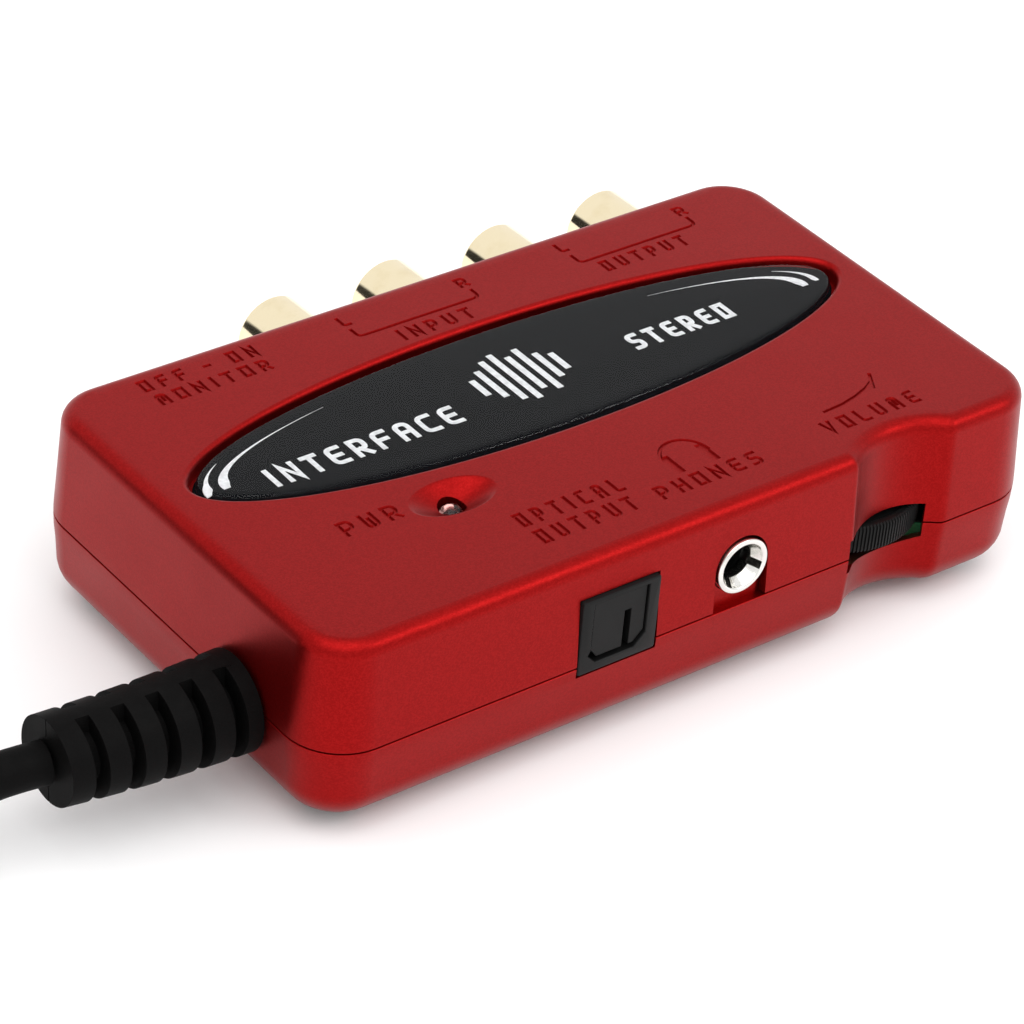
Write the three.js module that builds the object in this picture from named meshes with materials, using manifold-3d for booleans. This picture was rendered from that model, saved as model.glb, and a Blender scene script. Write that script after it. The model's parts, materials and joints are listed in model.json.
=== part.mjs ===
// A palm-sized audio interface in a two-part moulded case, with its captive computer lead.
// Millimetres. +Z is up, -Y is the front with the optical and phones sockets, and the rubber feet
// stand on z = 0. The origin is under the middle of the case and its rear sockets.
import * as THREE from 'three';
import { mergeVertices } from 'three/addons/utils/BufferGeometryUtils.js';
import Module from 'manifold-3d';

const wasm = await Module();
wasm.setup();

// ---- Driving dimensions ----
const CASE = { width: 88, front: -30, back: 20, bottom: 1.5, split: 10.35, top: 22, corner: 6, wall: 1.8 };
const DRAFT = { upper: 0.62, lower: 0.35 };
const FILLET = { upper: 1.6, lower: 3.7 };
const GAP = 0.3;
const BADGE = { x: 0.2, y: -0.8, rx: 39.4, ry: 9.6, floor: 20.2 };
const DISH = { x: -18.8, y: -14.2, rx: 4.75, ry: 2.7, floor: 20 };
const BOARD = { x: 35.5, front: -27.4, back: 17.4, bottom: 7.2, top: 8.8 };
const OPTICAL = { x0: -14.9, x1: -5.6, z0: 9.3, z1: 17.8, depth: 12, wall: 1.35, hingeY: -28.9, hingeZ: 16.1 };
const PHONES = { x: 4.7, z: 14.8, ring: 3.02, bore: 1.8, notch: 3.3 };
const WHEEL = { x: 24.7, y: -19.4, r: 9.5, z0: 9.1, z1: 12.1, ribs: 48, ribDepth: 0.35 };
const SCALLOP = { x: 25, y: -36.42, r: 8.72 };
const SWITCH = { x: -26, z: 13.9, travel: 2, lever: 2.4 };
const SOCKETS = { first: -9, pitch: 14.2, count: 4, z: 12.8, r: 4.1, hole: 4.4, end: 30 };
const RELIEF = { y: -16.2, z: 9.4, base: 5.1, tip: 4.45, length: 19.4, hole: 3.5, core: 2.8, spine: 0.95 };
const RELIEF_SLOTS = { count: 5, first: 2.3, pitch: 3.54, half: 0.7 };
const POSTS = [[-38.8, -24.5], [38.8, -24.5], [-38.8, 13], [38.8, 3.8]];
const FEET = [[-30, -17], [30, -17], [-30, 11], [30, 11]];
const STANDOFFS = [[-32, 7.5], [32, 2.5], [-32, -24], [12, -24]];
const CABLE = { d: 4.3, sides: 10 };
const COIL = { x: -116, y: 14, mid: 24, lanes: 3 };
const TIE = { width: 5, thick: 1.2, lift: 1.5, top: 14.6 };
const PLUG = { x: -115, y: 36, z: 17, neck: 6, grip: 20, shell: 12 };

// ---- Finishes ----
const finish = (color, roughness, metalness) => new THREE.MeshStandardMaterial({ color, roughness, metalness });
const RED = finish(0x9c1a22, 0.38, 0.45);
const BLACK = finish(0x161618, 0.5, 0);
const GLASS = finish(0x2a2d33, 0.08, 0);
const RUBBER = finish(0x1a1a1b, 0.75, 0);
const GOLD = finish(0xe3c27a, 0.18, 1);
const NICKEL = finish(0xc9c9c6, 0.2, 1);
const STEEL = finish(0x8f9194, 0.35, 1);
const WHITE = finish(0xe8e6df, 0.5, 0);
const GREEN = finish(0x1c5a3a, 0.5, 0);
const LAMP = finish(0x86b4e8, 0.2, 0);

// ---- Solids ----
function solid(source) {
  const bare = new THREE.BufferGeometry();
  bare.setAttribute('position', source.getAttribute('position'));
  bare.setIndex(source.getIndex());
  const merged = mergeVertices(bare, 1e-4);
  const vertProperties = new Float32Array(merged.getAttribute('position').array);
  const triVerts = new Uint32Array(merged.getIndex().array);
  return new wasm.Manifold(new wasm.Mesh({ numProp: 3, vertProperties, triVerts }));
}

function geometryOf(made) {
  const mesh = made.getMesh();
  const geometry = new THREE.BufferGeometry();
  geometry.setAttribute('position', new THREE.BufferAttribute(mesh.vertProperties, 3));
  geometry.setIndex(new THREE.BufferAttribute(mesh.triVerts, 1));
  const flat = geometry.toNonIndexed();
  flat.computeVertexNormals();
  return flat;
}

const join = (...solids) => solids.flat(2).reduce((whole, next) => whole.add(next));
const cut = (whole, ...tools) => tools.flat(2).reduce((left, tool) => left.subtract(tool), whole);

function box(x0, x1, y0, y1, z0, z1) {
  const geometry = new THREE.BoxGeometry(x1 - x0, y1 - y0, z1 - z0);
  geometry.translate((x0 + x1) / 2, (y0 + y1) / 2, (z0 + z1) / 2);
  return solid(geometry);
}

// A round bar along one axis, from one place to another on it, centred on the other two coordinates.
function rod(axis, r, from, to, u, v, sides = 24) {
  const geometry = new THREE.CylinderGeometry(r, r, to - from, sides);
  const middle = (from + to) / 2;
  if (axis === 'x') geometry.rotateZ(-Math.PI / 2).translate(middle, u, v);
  if (axis === 'y') geometry.translate(u, middle, v);
  if (axis === 'z') geometry.rotateX(Math.PI / 2).translate(u, v, middle);
  return solid(geometry);
}

// A closed skin over level rings of equal point count, lowest first, each running anticlockwise.
function loft(rings) {
  const count = rings[0].length;
  const index = [];
  for (let level = 0; level < rings.length - 1; level++) {
    for (let i = 0; i < count; i++) {
      const a = level * count + i;
      const b = level * count + ((i + 1) % count);
      index.push(a, b, b + count, a, b + count, a + count);
    }
  }
  const last = (rings.length - 1) * count;
  for (let i = 1; i < count - 1; i++) index.push(0, i + 1, i, last, last + i, last + i + 1);
  const geometry = new THREE.BufferGeometry();
  geometry.setAttribute('position', new THREE.Float32BufferAttribute(rings.flat(2), 3));
  geometry.setIndex(index);
  return solid(geometry);
}

function roundedRing(cx, cy, halfX, halfY, r, z, steps = 5) {
  const ring = [];
  for (let corner = 0; corner < 4; corner++) {
    const x = cx + (corner % 3 === 0 ? 1 : -1) * (halfX - r);
    const y = cy + (corner < 2 ? 1 : -1) * (halfY - r);
    for (let i = 0; i <= steps; i++) {
      const a = ((corner + i / steps) * Math.PI) / 2;
      ring.push([x + r * Math.cos(a), y + r * Math.sin(a), z]);
    }
  }
  return ring;
}

function ellipseRing(cx, cy, rx, ry, z, sides = 56) {
  return Array.from({ length: sides }, (_, i) => {
    const a = (i / sides) * 2 * Math.PI;
    return [cx + rx * Math.cos(a), cy + ry * Math.sin(a), z];
  });
}

// ---- The scene graph ----
const audioInterface = new THREE.Group();

function add(name, made, material, parent = audioInterface) {
  const mesh = new THREE.Mesh(made.isBufferGeometry ? made : geometryOf(made), material);
  mesh.name = name;
  parent.add(mesh);
  return mesh;
}

function groupAt(x, y, z, parent = audioInterface) {
  const group = new THREE.Group();
  group.position.set(x, y, z);
  parent.add(group);
  return group;
}

// ---- Case shells ----
const CASE_Y = (CASE.front + CASE.back) / 2;
const HALF_X = CASE.width / 2;
const HALF_Y = (CASE.back - CASE.front) / 2;

const caseRing = (z, inset) =>
  roundedRing(0, CASE_Y, HALF_X - inset, HALF_Y - inset, Math.max(CASE.corner - inset, 0.8), z);

// Rings from the split to a rounded outer edge, for the top or, mirrored, for the bottom.
function shellRings(splitZ, endZ, draft, fillet, steps) {
  const up = Math.sign(endZ - splitZ);
  const rings = [[splitZ, 0], [endZ - up * fillet, draft]];
  for (let i = 1; i <= steps; i++) {
    const a = ((i / steps) * Math.PI) / 2;
    rings.push([endZ - up * fillet * (1 - Math.sin(a)), draft + fillet * (1 - Math.cos(a))]);
  }
  if (up < 0) rings.reverse();
  return rings.map(([z, inset]) => caseRing(z, inset));
}

const slab = (z0, z1, inset) => loft([caseRing(z0, inset), caseRing(z1, inset)]);
const backingBlock = rod('z', SCALLOP.r + CASE.wall, CASE.bottom, CASE.top, SCALLOP.x, SCALLOP.y, 56);

const wallOpenings = [
  box(OPTICAL.x0 - GAP, OPTICAL.x1 + GAP, CASE.front - 1, -27.5, OPTICAL.z0 - GAP, OPTICAL.z1 + GAP),
  rod('z', SCALLOP.r, 0, CASE.top + 1, SCALLOP.x, SCALLOP.y, 56),
  rod('z', WHEEL.r + 0.4, WHEEL.z0 - GAP, WHEEL.z1 + GAP, WHEEL.x, WHEEL.y, 48),
  rod('x', RELIEF.hole, -HALF_X - 1, -41, RELIEF.y, RELIEF.z),
  ...Array.from({ length: SOCKETS.count }, (_, i) =>
    rod('y', SOCKETS.hole, 16, CASE.back + 1, SOCKETS.first + i * SOCKETS.pitch, SOCKETS.z)),
];

function upperShell() {
  const base = CASE.split + GAP / 2;
  const roof = CASE.top - CASE.wall;
  const hollow = cut(
    slab(base - 1, roof, CASE.wall + 0.2),
    backingBlock,
    loft([BADGE.floor - CASE.wall, CASE.top].map((z) =>
      ellipseRing(BADGE.x, BADGE.y, BADGE.rx + 1.6, BADGE.ry + 1.6, z))),
    loft([DISH.floor - 1.4, CASE.top].map((z) => ellipseRing(DISH.x, DISH.y, DISH.rx + 1.2, DISH.ry + 1.2, z))),
  );
  const posts = POSTS.map(([x, y]) => rod('z', 2.9, CASE.split + 0.55, roof + 0.5, x, y));
  const body = join(cut(loft(shellRings(base, CASE.top, DRAFT.upper, FILLET.upper, 5)), hollow), posts);
  return cut(
    body,
    cut(slab(base - 1, CASE.split + 1.55, 1.05), slab(base - 2, CASE.split + 2, 3.2)),
    wallOpenings,
    POSTS.map(([x, y]) => rod('z', 1.35, CASE.split, 18.5, x, y, 16)),
    loft([BADGE.floor, CASE.top + 1].map((z) => ellipseRing(BADGE.x, BADGE.y, BADGE.rx, BADGE.ry, z))),
    loft([
      ellipseRing(DISH.x, DISH.y, DISH.rx - 0.8, DISH.ry - 0.7, DISH.floor),
      ellipseRing(DISH.x, DISH.y, DISH.rx, DISH.ry, CASE.top + 0.1),
    ]),
    rod('z', 1.8, DISH.floor - 3, DISH.floor + 1, DISH.x, DISH.y),
    box(PHONES.x - PHONES.notch, PHONES.x + PHONES.notch, CASE.front - 1, -27.5, base - 1, PHONES.z),
    rod('y', PHONES.notch, CASE.front - 1, -27.5, PHONES.x, PHONES.z),
    box(SWITCH.x - 2.7, SWITCH.x + 2.7, 17, CASE.back + 1, SWITCH.z - 1.3, SWITCH.z + 1.3),
  );
}

function lowerShell() {
  const rim = CASE.split - GAP / 2;
  const floor = CASE.bottom + CASE.wall;
  const hollow = cut(slab(floor, rim + 1, CASE.wall + 0.2), backingBlock);
  const cup = cut(loft(shellRings(rim, CASE.bottom, DRAFT.lower, FILLET.lower, 6)), hollow);
  const lip = cut(slab(rim - 0.6, CASE.split + 1.25, 1.35), slab(rim - 1, CASE.split + 2, 2.1));
  const tabHalf = PHONES.notch - GAP;
  return cut(
    join(
      cup,
      lip,
      box(PHONES.x - tabHalf, PHONES.x + tabHalf, CASE.front + 0.35, -28.2, rim - 1, PHONES.z),
      POSTS.map(([x, y]) => rod('z', 2.9, floor - 0.5, CASE.split + 0.25, x, y)),
      STANDOFFS.map(([x, y]) => rod('z', 2.2, floor - 0.5, BOARD.bottom - GAP, x, y)),
    ),
    wallOpenings,
    rod('y', PHONES.ring + GAP, CASE.front - 1, -27.5, PHONES.x, PHONES.z),
    POSTS.map(([x, y]) => [rod('z', 1.5, 0, 12, x, y, 16), rod('z', 2.7, 0, 4.4, x, y)]),
    STANDOFFS.map(([x, y]) => rod('z', 1.1, 4, BOARD.bottom, x, y, 16)),
    FEET.map(([x, y]) => rod('z', 4.3, 0, CASE.bottom + 0.5, x, y)),
  );
}

add('upper_shell', upperShell(), RED);
add('lower_shell', lowerShell(), RED);

// ---- Badge and status lamp ----
const badgeRing = (inset, z) => ellipseRing(BADGE.x, BADGE.y, BADGE.rx - 0.5 - inset, BADGE.ry - 0.5 - inset, z);
add('badge_plate', loft([badgeRing(0, BADGE.floor + GAP), badgeRing(0, BADGE.floor + 0.8)]), BLACK);
add('badge_lens', loft([[0, 21.3], [0, 21.6], [0.4, 21.85], [1.4, 22]].map(([inset, z]) => badgeRing(inset, z))),
  GLASS);

function lamp() {
  const outline = [[0, 0], [1.9, 0], [1.9, 0.8], [1.5, 0.8], [1.5, 2.6], [1.25, 3.4], [0.7, 3.9], [0, 4.05]];
  const geometry = new THREE.LatheGeometry(outline.map(([r, z]) => new THREE.Vector2(r, z)), 20);
  return solid(geometry.rotateX(Math.PI / 2));
}
const lampGroup = groupAt(DISH.x, DISH.y, 0);
add('status_lamp', lamp(), LAMP, lampGroup).position.z = 16.4;
add('lamp_spacer', rod('z', 2.4, BOARD.top + GAP, 16.1, 0, 0, 20), WHITE, lampGroup);

// ---- Main board and what stands on it ----
const seat = BOARD.top + GAP;
const boardOutline = (z) => roundedRing(0, (BOARD.front + BOARD.back) / 2, BOARD.x,
  (BOARD.back - BOARD.front) / 2, 2, z, 3);
add('main_board', cut(
  loft([boardOutline(BOARD.bottom), boardOutline(BOARD.top)]),
  rod('z', SCALLOP.r + CASE.wall + GAP, 0, 12, SCALLOP.x, SCALLOP.y, 56),
  STANDOFFS.map(([x, y]) => rod('z', 1.3, 0, 12, x, y, 16)),
), GREEN);

add('codec_chip', box(-1.5, 5.5, -7.5, -0.5, seat, seat + 1.2), BLACK);
add('link_chip', box(-18.5, -9.5, -9, 0, seat, seat + 1.4), BLACK);
add('phones_amplifier', box(7.5, 12.5, -9.5, -5.5, seat, seat + 1.5), BLACK);
add('regulator', box(-25.5, -20.5, -2, 2.5, seat, seat + 1.8), BLACK);
add('crystal', loft([seat, seat + 3.2].map((z) => roundedRing(-26.5, -8, 5.3, 2.2, 2.1, z, 5))), STEEL);
[[-4.5, 3.6], [9, 1.5]].forEach(([x, y], i) => {
  add(`capacitor_${i + 1}`, rod('z', 2.4, seat, seat + 6.2, x, y, 20), BLACK);
});
[STANDOFFS[0], STANDOFFS[1]].forEach(([x, y], i) => {
  const screw = join(rod('z', 1.9, 0, 1.1, 0, 0, 20), rod('z', 0.8, -3.6, 0.5, 0, 0, 12));
  add(`board_screw_${i + 1}`, screw, STEEL, groupAt(x, y, seat));
});

// ---- Optical output with its sprung shutter ----
const opticalX = (OPTICAL.x0 + OPTICAL.x1) / 2;
const cavity = { x0: OPTICAL.x0 + OPTICAL.wall, x1: OPTICAL.x1 - OPTICAL.wall, z0: 10.5, z1: 17.3 };
add('optical_housing', cut(
  box(OPTICAL.x0, OPTICAL.x1, CASE.front, CASE.front + OPTICAL.depth, OPTICAL.z0, OPTICAL.z1),
  box(cavity.x0, cavity.x1, CASE.front - 1, CASE.front + OPTICAL.depth + 1, cavity.z0, cavity.z1),
  rod('x', 0.65, OPTICAL.x0 + 0.5, OPTICAL.x1 - 0.5, OPTICAL.hingeY, OPTICAL.hingeZ, 16),
), BLACK);

const hinge = groupAt(opticalX, OPTICAL.hingeY, OPTICAL.hingeZ);
const doorHalf = (cavity.x1 - cavity.x0) / 2 - GAP;
add('optical_shutter', cut(
  join(
    rod('x', 0.9, -doorHalf, doorHalf, 0, 0, 20),
    box(-doorHalf, doorHalf, -0.4, 0.4, cavity.z0 + GAP - OPTICAL.hingeZ, 0),
  ),
  rod('x', 0.6, -5, 5, 0, 0, 16),
), BLACK, hinge);
add('shutter_pin', rod('x', 0.3, 0.7 + OPTICAL.x0 - opticalX, OPTICAL.x1 - 0.7 - opticalX, 0, 0, 12), STEEL, hinge);
add('optical_emitter', join(
  box(cavity.x0 + GAP, cavity.x1 - GAP, -21.4, -17.6, cavity.z0 + GAP, cavity.z1 - GAP),
  rod('y', 1.3, -22.6, -21, opticalX, 13.9, 20),
), BLACK);

// ---- Phones socket ----
function turned(outline, sides = 24) {
  return solid(new THREE.LatheGeometry(outline.map(([r, y]) => new THREE.Vector2(r, y)), sides));
}
const phones = groupAt(PHONES.x, 0, PHONES.z);
add('phones_ring', turned([
  [PHONES.bore, -27.8], [PHONES.ring, -27.8], [PHONES.ring, -29.8], [PHONES.ring - 0.2, CASE.front],
  [2.45, CASE.front], [PHONES.bore, -29], [PHONES.bore, -27.8],
].reverse()), NICKEL, phones);
add('phones_body', cut(
  box(-4, 4, -27.5, -14.5, seat - PHONES.z, 3.5),
  rod('y', PHONES.bore, -28, -15.5, 0, 0),
), BLACK, phones);
add('phones_contact', box(-0.5, 0.5, -19.5, -15.8, 1, 1.25), NICKEL, phones);

// ---- Volume thumbwheel ----
function wheelOutline() {
  const points = [];
  for (let i = 0; i < WHEEL.ribs * 2; i++) {
    const a = (i / (WHEEL.ribs * 2)) * 2 * Math.PI;
    const r = WHEEL.r - (i % 2) * WHEEL.ribDepth;
    points.push(new THREE.Vector2(r * Math.cos(a), r * Math.sin(a)));
  }
  return new THREE.Shape(points);
}
const wheel = groupAt(WHEEL.x, WHEEL.y, 0);
const disc = new THREE.ExtrudeGeometry(wheelOutline(), { depth: WHEEL.z1 - WHEEL.z0, bevelEnabled: false });
add('volume_wheel', cut(
  solid(disc.translate(0, 0, WHEEL.z0)),
  rod('z', 5.2, WHEEL.z0 - 1, 11.3, 0, 0),
  rod('z', 1.3, WHEEL.z0, WHEEL.z1 + 1, 0, 0, 20),
), BLACK, wheel);
add('volume_control', rod('z', 4.7, seat, 10.9, 0, 0), WHITE, wheel);
add('wheel_rivet', join(rod('z', 1, 11.2, 12.8, 0, 0, 20), rod('z', 2.1, 12.4, 13.2, 0, 0, 24)), STEEL, wheel);

// ---- Monitor switch ----
add('monitor_switch_body', cut(
  box(SWITCH.x - 5, SWITCH.x + 5, 12.4, 17.3, seat, SWITCH.z + 2.7),
  box(SWITCH.x - 2.7, SWITCH.x + 2.7, 15, 18, SWITCH.z - 1.2, SWITCH.z + 1.2),
), STEEL);
const leverX = SWITCH.x - SWITCH.travel / 2;
add('monitor_switch_lever', box(leverX - SWITCH.lever / 2, leverX + SWITCH.lever / 2, 15.4, CASE.back + 1.6,
  SWITCH.z - 0.9, SWITCH.z + 0.9), BLACK);

// ---- Four phono sockets in two moulded blocks ----
const socketX = (i) => SOCKETS.first + i * SOCKETS.pitch;
['input', 'output'].forEach((pair, i) => {
  add(`${pair}_block`, box(socketX(2 * i) - 4.8, socketX(2 * i + 1) + 4.8, 7.6, 17, seat, 17.2), BLACK);
});
for (let i = 0; i < SOCKETS.count; i++) {
  const name = `${i < 2 ? 'input' : 'output'}_${i % 2 ? 'right' : 'left'}`;
  const socket = groupAt(socketX(i), 0, SOCKETS.z);
  const tube = (outer, inner, from, to, sides) =>
    turned([[inner, from], [outer, from], [outer, to], [inner, to], [inner, from]], sides);
  add(`${name}_barrel`, tube(SOCKETS.r, 3.55, 17.3, SOCKETS.end), GOLD, socket);
  add(`${name}_insulator`, tube(3.25, 1.75, 17.3, SOCKETS.end - 0.6), WHITE, socket);
  add(`${name}_contact`, tube(1.45, 0.9, 17.3, SOCKETS.end - 1.4, 20), GOLD, socket);
}

// ---- Screws and feet ----
const caseScrew = join(rod('z', 2.3, 2.9, 4, 0, 0, 24), rod('z', 1.05, 3, 15, 0, 0, 12));
POSTS.forEach(([x, y], i) => add(`case_screw_${i + 1}`, caseScrew, STEEL, groupAt(x, y, 0)));
FEET.forEach(([x, y], i) => add(`foot_${i + 1}`, rod('z', 4, 0, 1.7, 0, 0), RUBBER, groupAt(x, y, 0)));

// ---- Strain relief: a slotted cone that the lead has pulled slightly back and up ----
const RELIEF_PULL = { y: 1, z: 0.2 };

function strainRelief() {
  const start = -HALF_X - GAP;
  const outline = [
    [0, -4.4], [4.8, -4.4], [4.8, -2.9], [3.2, -2.9], [3.2, 0], [RELIEF.base, 0],
    [RELIEF.tip, RELIEF.length], [0, RELIEF.length],
  ];
  const cone = turned(outline, 28);
  const core = rod('y', RELIEF.core, -1, RELIEF.length, 0, 0);
  const slots = [];
  for (let i = 0; i < RELIEF_SLOTS.count; i++) {
    const middle = RELIEF_SLOTS.first + i * RELIEF_SLOTS.pitch;
    const from = middle - RELIEF_SLOTS.half;
    const to = middle + RELIEF_SLOTS.half;
    slots.push(cut(box(-7, -RELIEF.spine, from, to, -7, 7), core), cut(box(RELIEF.spine, 7, from, to, -7, 7), core));
  }
  const made = geometryOf(cut(cone, slots));
  made.rotateZ(Math.PI / 2).rotateX(-0.45).translate(start, RELIEF.y, RELIEF.z);
  const place = made.getAttribute('position');
  for (let i = 0; i < place.count; i++) {
    const share = Math.max(0, (start - place.getX(i)) / RELIEF.length) ** 2;
    place.setY(i, place.getY(i) + RELIEF_PULL.y * share);
    place.setZ(i, place.getZ(i) + RELIEF_PULL.z * share);
  }
  made.computeVertexNormals();
  return made;
}
add('strain_relief', strainRelief(), RUBBER);
add('inner_lead', rod('x', 1.1, -39.6, -34, RELIEF.y, seat + 1.1, 16), BLACK);
add('lead_connector', box(-33.7, -28.7, -20, -12.4, seat, 13.2), WHITE);

// ---- Captive lead: out of the strain relief, down to the table, and into a tied round coil ----
const LEAD_ROUTE = [
  [-64, -15.2, 9.6], [-67, -14.85, 9.64], [-69.4, -14.6, 9.51], [-71.9, -14.45, 9.07],
  [-74.4, -14.35, 8.38], [-76.9, -14.3, 7.42], [-79.4, -14.25, 6.46], [-81.9, -14.2, 5.33],
  [-84.4, -14.2, 4.37], [-86.9, -14.2, 3.41], [-89.4, -14.2, 2.72], [-91.9, -14.2, 2.28],
  [-94.4, -14.2, 2.15], [-98.4, -14.2, 2.15], [-102.4, -14.2, 2.15], [-106.4, -14.2, 2.15],
  [-110.4, -14.2, 2.15], [-114.4, -14.2, 2.15], [-118.5, -14.2, 2.15],
];
const TAIL_ROUTE = [
  [-125.5, 32.6, 15.5], [-123.2, 34.1, 16.2], [-120.8, 35.2, 16.7], [-118.2, 35.8, 17], [-115.3, 36, 17],
];

function leadTube(route, steps) {
  const section = new THREE.Shape();
  for (let i = 0; i < CABLE.sides; i++) {
    const a = (i / CABLE.sides) * 2 * Math.PI;
    section[i ? 'lineTo' : 'moveTo']((CABLE.d / 2) * Math.cos(a), (CABLE.d / 2) * Math.sin(a));
  }
  section.closePath();
  const extrudePath = new THREE.CatmullRomCurve3(route.map((p) => new THREE.Vector3(...p)));
  return solid(new THREE.ExtrudeGeometry(section, { steps, extrudePath, bevelEnabled: false }));
}

function coilRing(grow) {
  const half = (COIL.lanes * CABLE.d) / 2 + grow;
  const inner = COIL.mid - half;
  const outer = COIL.mid + half;
  const height = COIL.lanes * CABLE.d + grow;
  const profile = [[inner, -grow], [outer, -grow], [outer, height], [inner, height], [inner, -grow]];
  const points = profile.map(([r, z]) => new THREE.Vector2(r, z));
  return solid(new THREE.LatheGeometry(points, 48).rotateX(Math.PI / 2).translate(COIL.x, COIL.y, 0));
}

const tieX = COIL.x + COIL.mid;
const tieHalf = (COIL.lanes * CABLE.d) / 2 + GAP;
const tieBox = (grow, z0, z1, halfY) =>
  box(tieX - tieHalf - grow, tieX + tieHalf + grow, COIL.y - halfY, COIL.y + halfY, z0, z1);
add('lead', cut(leadTube(LEAD_ROUTE, 16), coilRing(GAP)), BLACK);
add('lead_coil', cut(coilRing(0), tieBox(2, -1, TIE.lift, TIE.width / 2 + GAP)), BLACK);
add('coil_tie', cut(
  tieBox(TIE.thick, 0, TIE.top + TIE.thick, TIE.width / 2),
  tieBox(0, TIE.thick, TIE.top, TIE.width),
), BLACK);
add('lead_end', leadTube(TAIL_ROUTE, 6), BLACK);

// ---- Computer plug, lying on the coil ----
const plug = groupAt(PLUG.x, PLUG.y, PLUG.z);
plug.rotation.y = Math.PI / 2;
const gripRing = (halfThick, halfWide, r, z) => roundedRing(0, 0, halfThick, halfWide, r, z, 4);
add('plug_grip', loft([
  gripRing(2.6, 2.6, 2.5, 0), gripRing(3, 3.2, 2.5, PLUG.neck), gripRing(3.8, 7.6, 2.4, PLUG.neck + 2.5),
  gripRing(3.8, 7.8, 2.4, PLUG.neck + PLUG.grip - 1), gripRing(3.4, 7.3, 2.2, PLUG.neck + PLUG.grip),
]), BLACK, plug);
const shellStart = PLUG.neck + PLUG.grip + GAP;
const shellEnd = shellStart + PLUG.shell;
add('plug_shell', cut(
  box(-2.25, 2.25, -6, 6, shellStart, shellEnd),
  box(-1.9, 1.9, -5.65, 5.65, shellStart + 0.6, shellEnd + 1),
), NICKEL, plug);
add('plug_tongue', box(-1.6, 0.2, -5.35, 5.35, shellStart + 0.9, shellEnd - 0.4), WHITE, plug);

export default audioInterface;
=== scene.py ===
"""A palm-sized stereo audio interface in a red two-part case, with its captive computer lead.

Sizes in the code are millimetres and turn into metres where a mesh is made. +Z is up, -Y is the
front with the optical and phones sockets, and the rubber feet stand on z = 0.
"""
import bpy
import bmesh
import json
import math
import numpy as np
from bpy.props import FloatProperty, FloatVectorProperty, IntProperty, PointerProperty
from bpy.types import Operator, Panel, PropertyGroup
from mathutils import Matrix, Vector

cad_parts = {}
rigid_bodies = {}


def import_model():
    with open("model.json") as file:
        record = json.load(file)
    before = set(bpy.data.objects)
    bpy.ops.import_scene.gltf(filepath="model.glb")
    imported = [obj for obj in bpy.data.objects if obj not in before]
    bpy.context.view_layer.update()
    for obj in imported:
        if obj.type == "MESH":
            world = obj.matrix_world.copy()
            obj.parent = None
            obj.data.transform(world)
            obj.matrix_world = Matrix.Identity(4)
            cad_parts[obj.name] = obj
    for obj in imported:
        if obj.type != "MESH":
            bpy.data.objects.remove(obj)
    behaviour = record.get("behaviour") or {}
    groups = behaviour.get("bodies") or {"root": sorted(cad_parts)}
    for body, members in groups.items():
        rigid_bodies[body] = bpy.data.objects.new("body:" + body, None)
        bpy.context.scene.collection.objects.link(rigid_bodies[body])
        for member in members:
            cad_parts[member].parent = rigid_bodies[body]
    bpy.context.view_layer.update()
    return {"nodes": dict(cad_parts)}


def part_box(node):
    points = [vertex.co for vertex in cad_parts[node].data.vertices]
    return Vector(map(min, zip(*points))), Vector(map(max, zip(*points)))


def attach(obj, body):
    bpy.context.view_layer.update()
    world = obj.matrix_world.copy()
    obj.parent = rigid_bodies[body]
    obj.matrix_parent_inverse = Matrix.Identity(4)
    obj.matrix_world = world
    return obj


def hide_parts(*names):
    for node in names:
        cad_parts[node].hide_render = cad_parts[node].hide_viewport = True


bl_info = {
    "name": "Audio Interface",
    "version": (1, 0, 0),
    "blender": (4, 5, 0),
    "location": "3D View > Sidebar > Audio Interface",
    "description": "Builds a small stereo audio interface with its sockets, volume wheel and lead",
    "category": "Add Mesh",
}

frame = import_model()
MM = 0.001


def node_box(node):
    """Lowest and highest corner of a frame node, in millimetres."""
    low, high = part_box(node)
    return [v / MM for v in low], [v / MM for v in high]


def node_middle(node):
    low, high = node_box(node)
    return [(a + b) / 2 for a, b in zip(low, high)]


# ---- Sizes that the pieces share ----
SPLIT, SHELL_GAP, WALL = 10.35, 0.09, 2.0
CASE_LOW, CASE_HIGH = node_box("lower_shell")[0], node_box("upper_shell")[1]
HALF_X, FRONT, BACK, CORNER = CASE_HIGH[0], CASE_LOW[1], CASE_HIGH[1], 6.0
BOTTOM, TOP = CASE_LOW[2], CASE_HIGH[2]
UPPER_DRAFT, UPPER_FILLET = 0.62, 1.6
LOWER_DRAFT, LOWER_FILLET = 0.35, 3.7
SCALLOP_X, SCALLOP_Y, SCALLOP_R = 25.0, -36.42, 8.72
BADGE_X, BADGE_Y, BADGE_RX, BADGE_RY, BADGE_FLOOR = 0.2, -0.8, 39.4, 9.6, 20.2
DISH_X, DISH_Y, DISH_RX, DISH_RY, DISH_FLOOR = -18.8, -14.2, 4.75, 2.7, 20.4
PHONES_X, _, PHONES_Z = node_middle("phones_ring")
WHEEL_X, WHEEL_Y, WHEEL_R = node_middle("volume_wheel")[0], node_middle("volume_wheel")[1], 9.5
RELIEF_Y, RELIEF_Z = -16.2, 9.4
SOCKET_NAMES = ("input_left", "input_right", "output_left", "output_right")
POSTS = [node_middle(f"case_screw_{i}")[:2] for i in (1, 2, 3, 4)]
FEET = [node_middle(f"foot_{i}")[:2] for i in (1, 2, 3, 4)]


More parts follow.
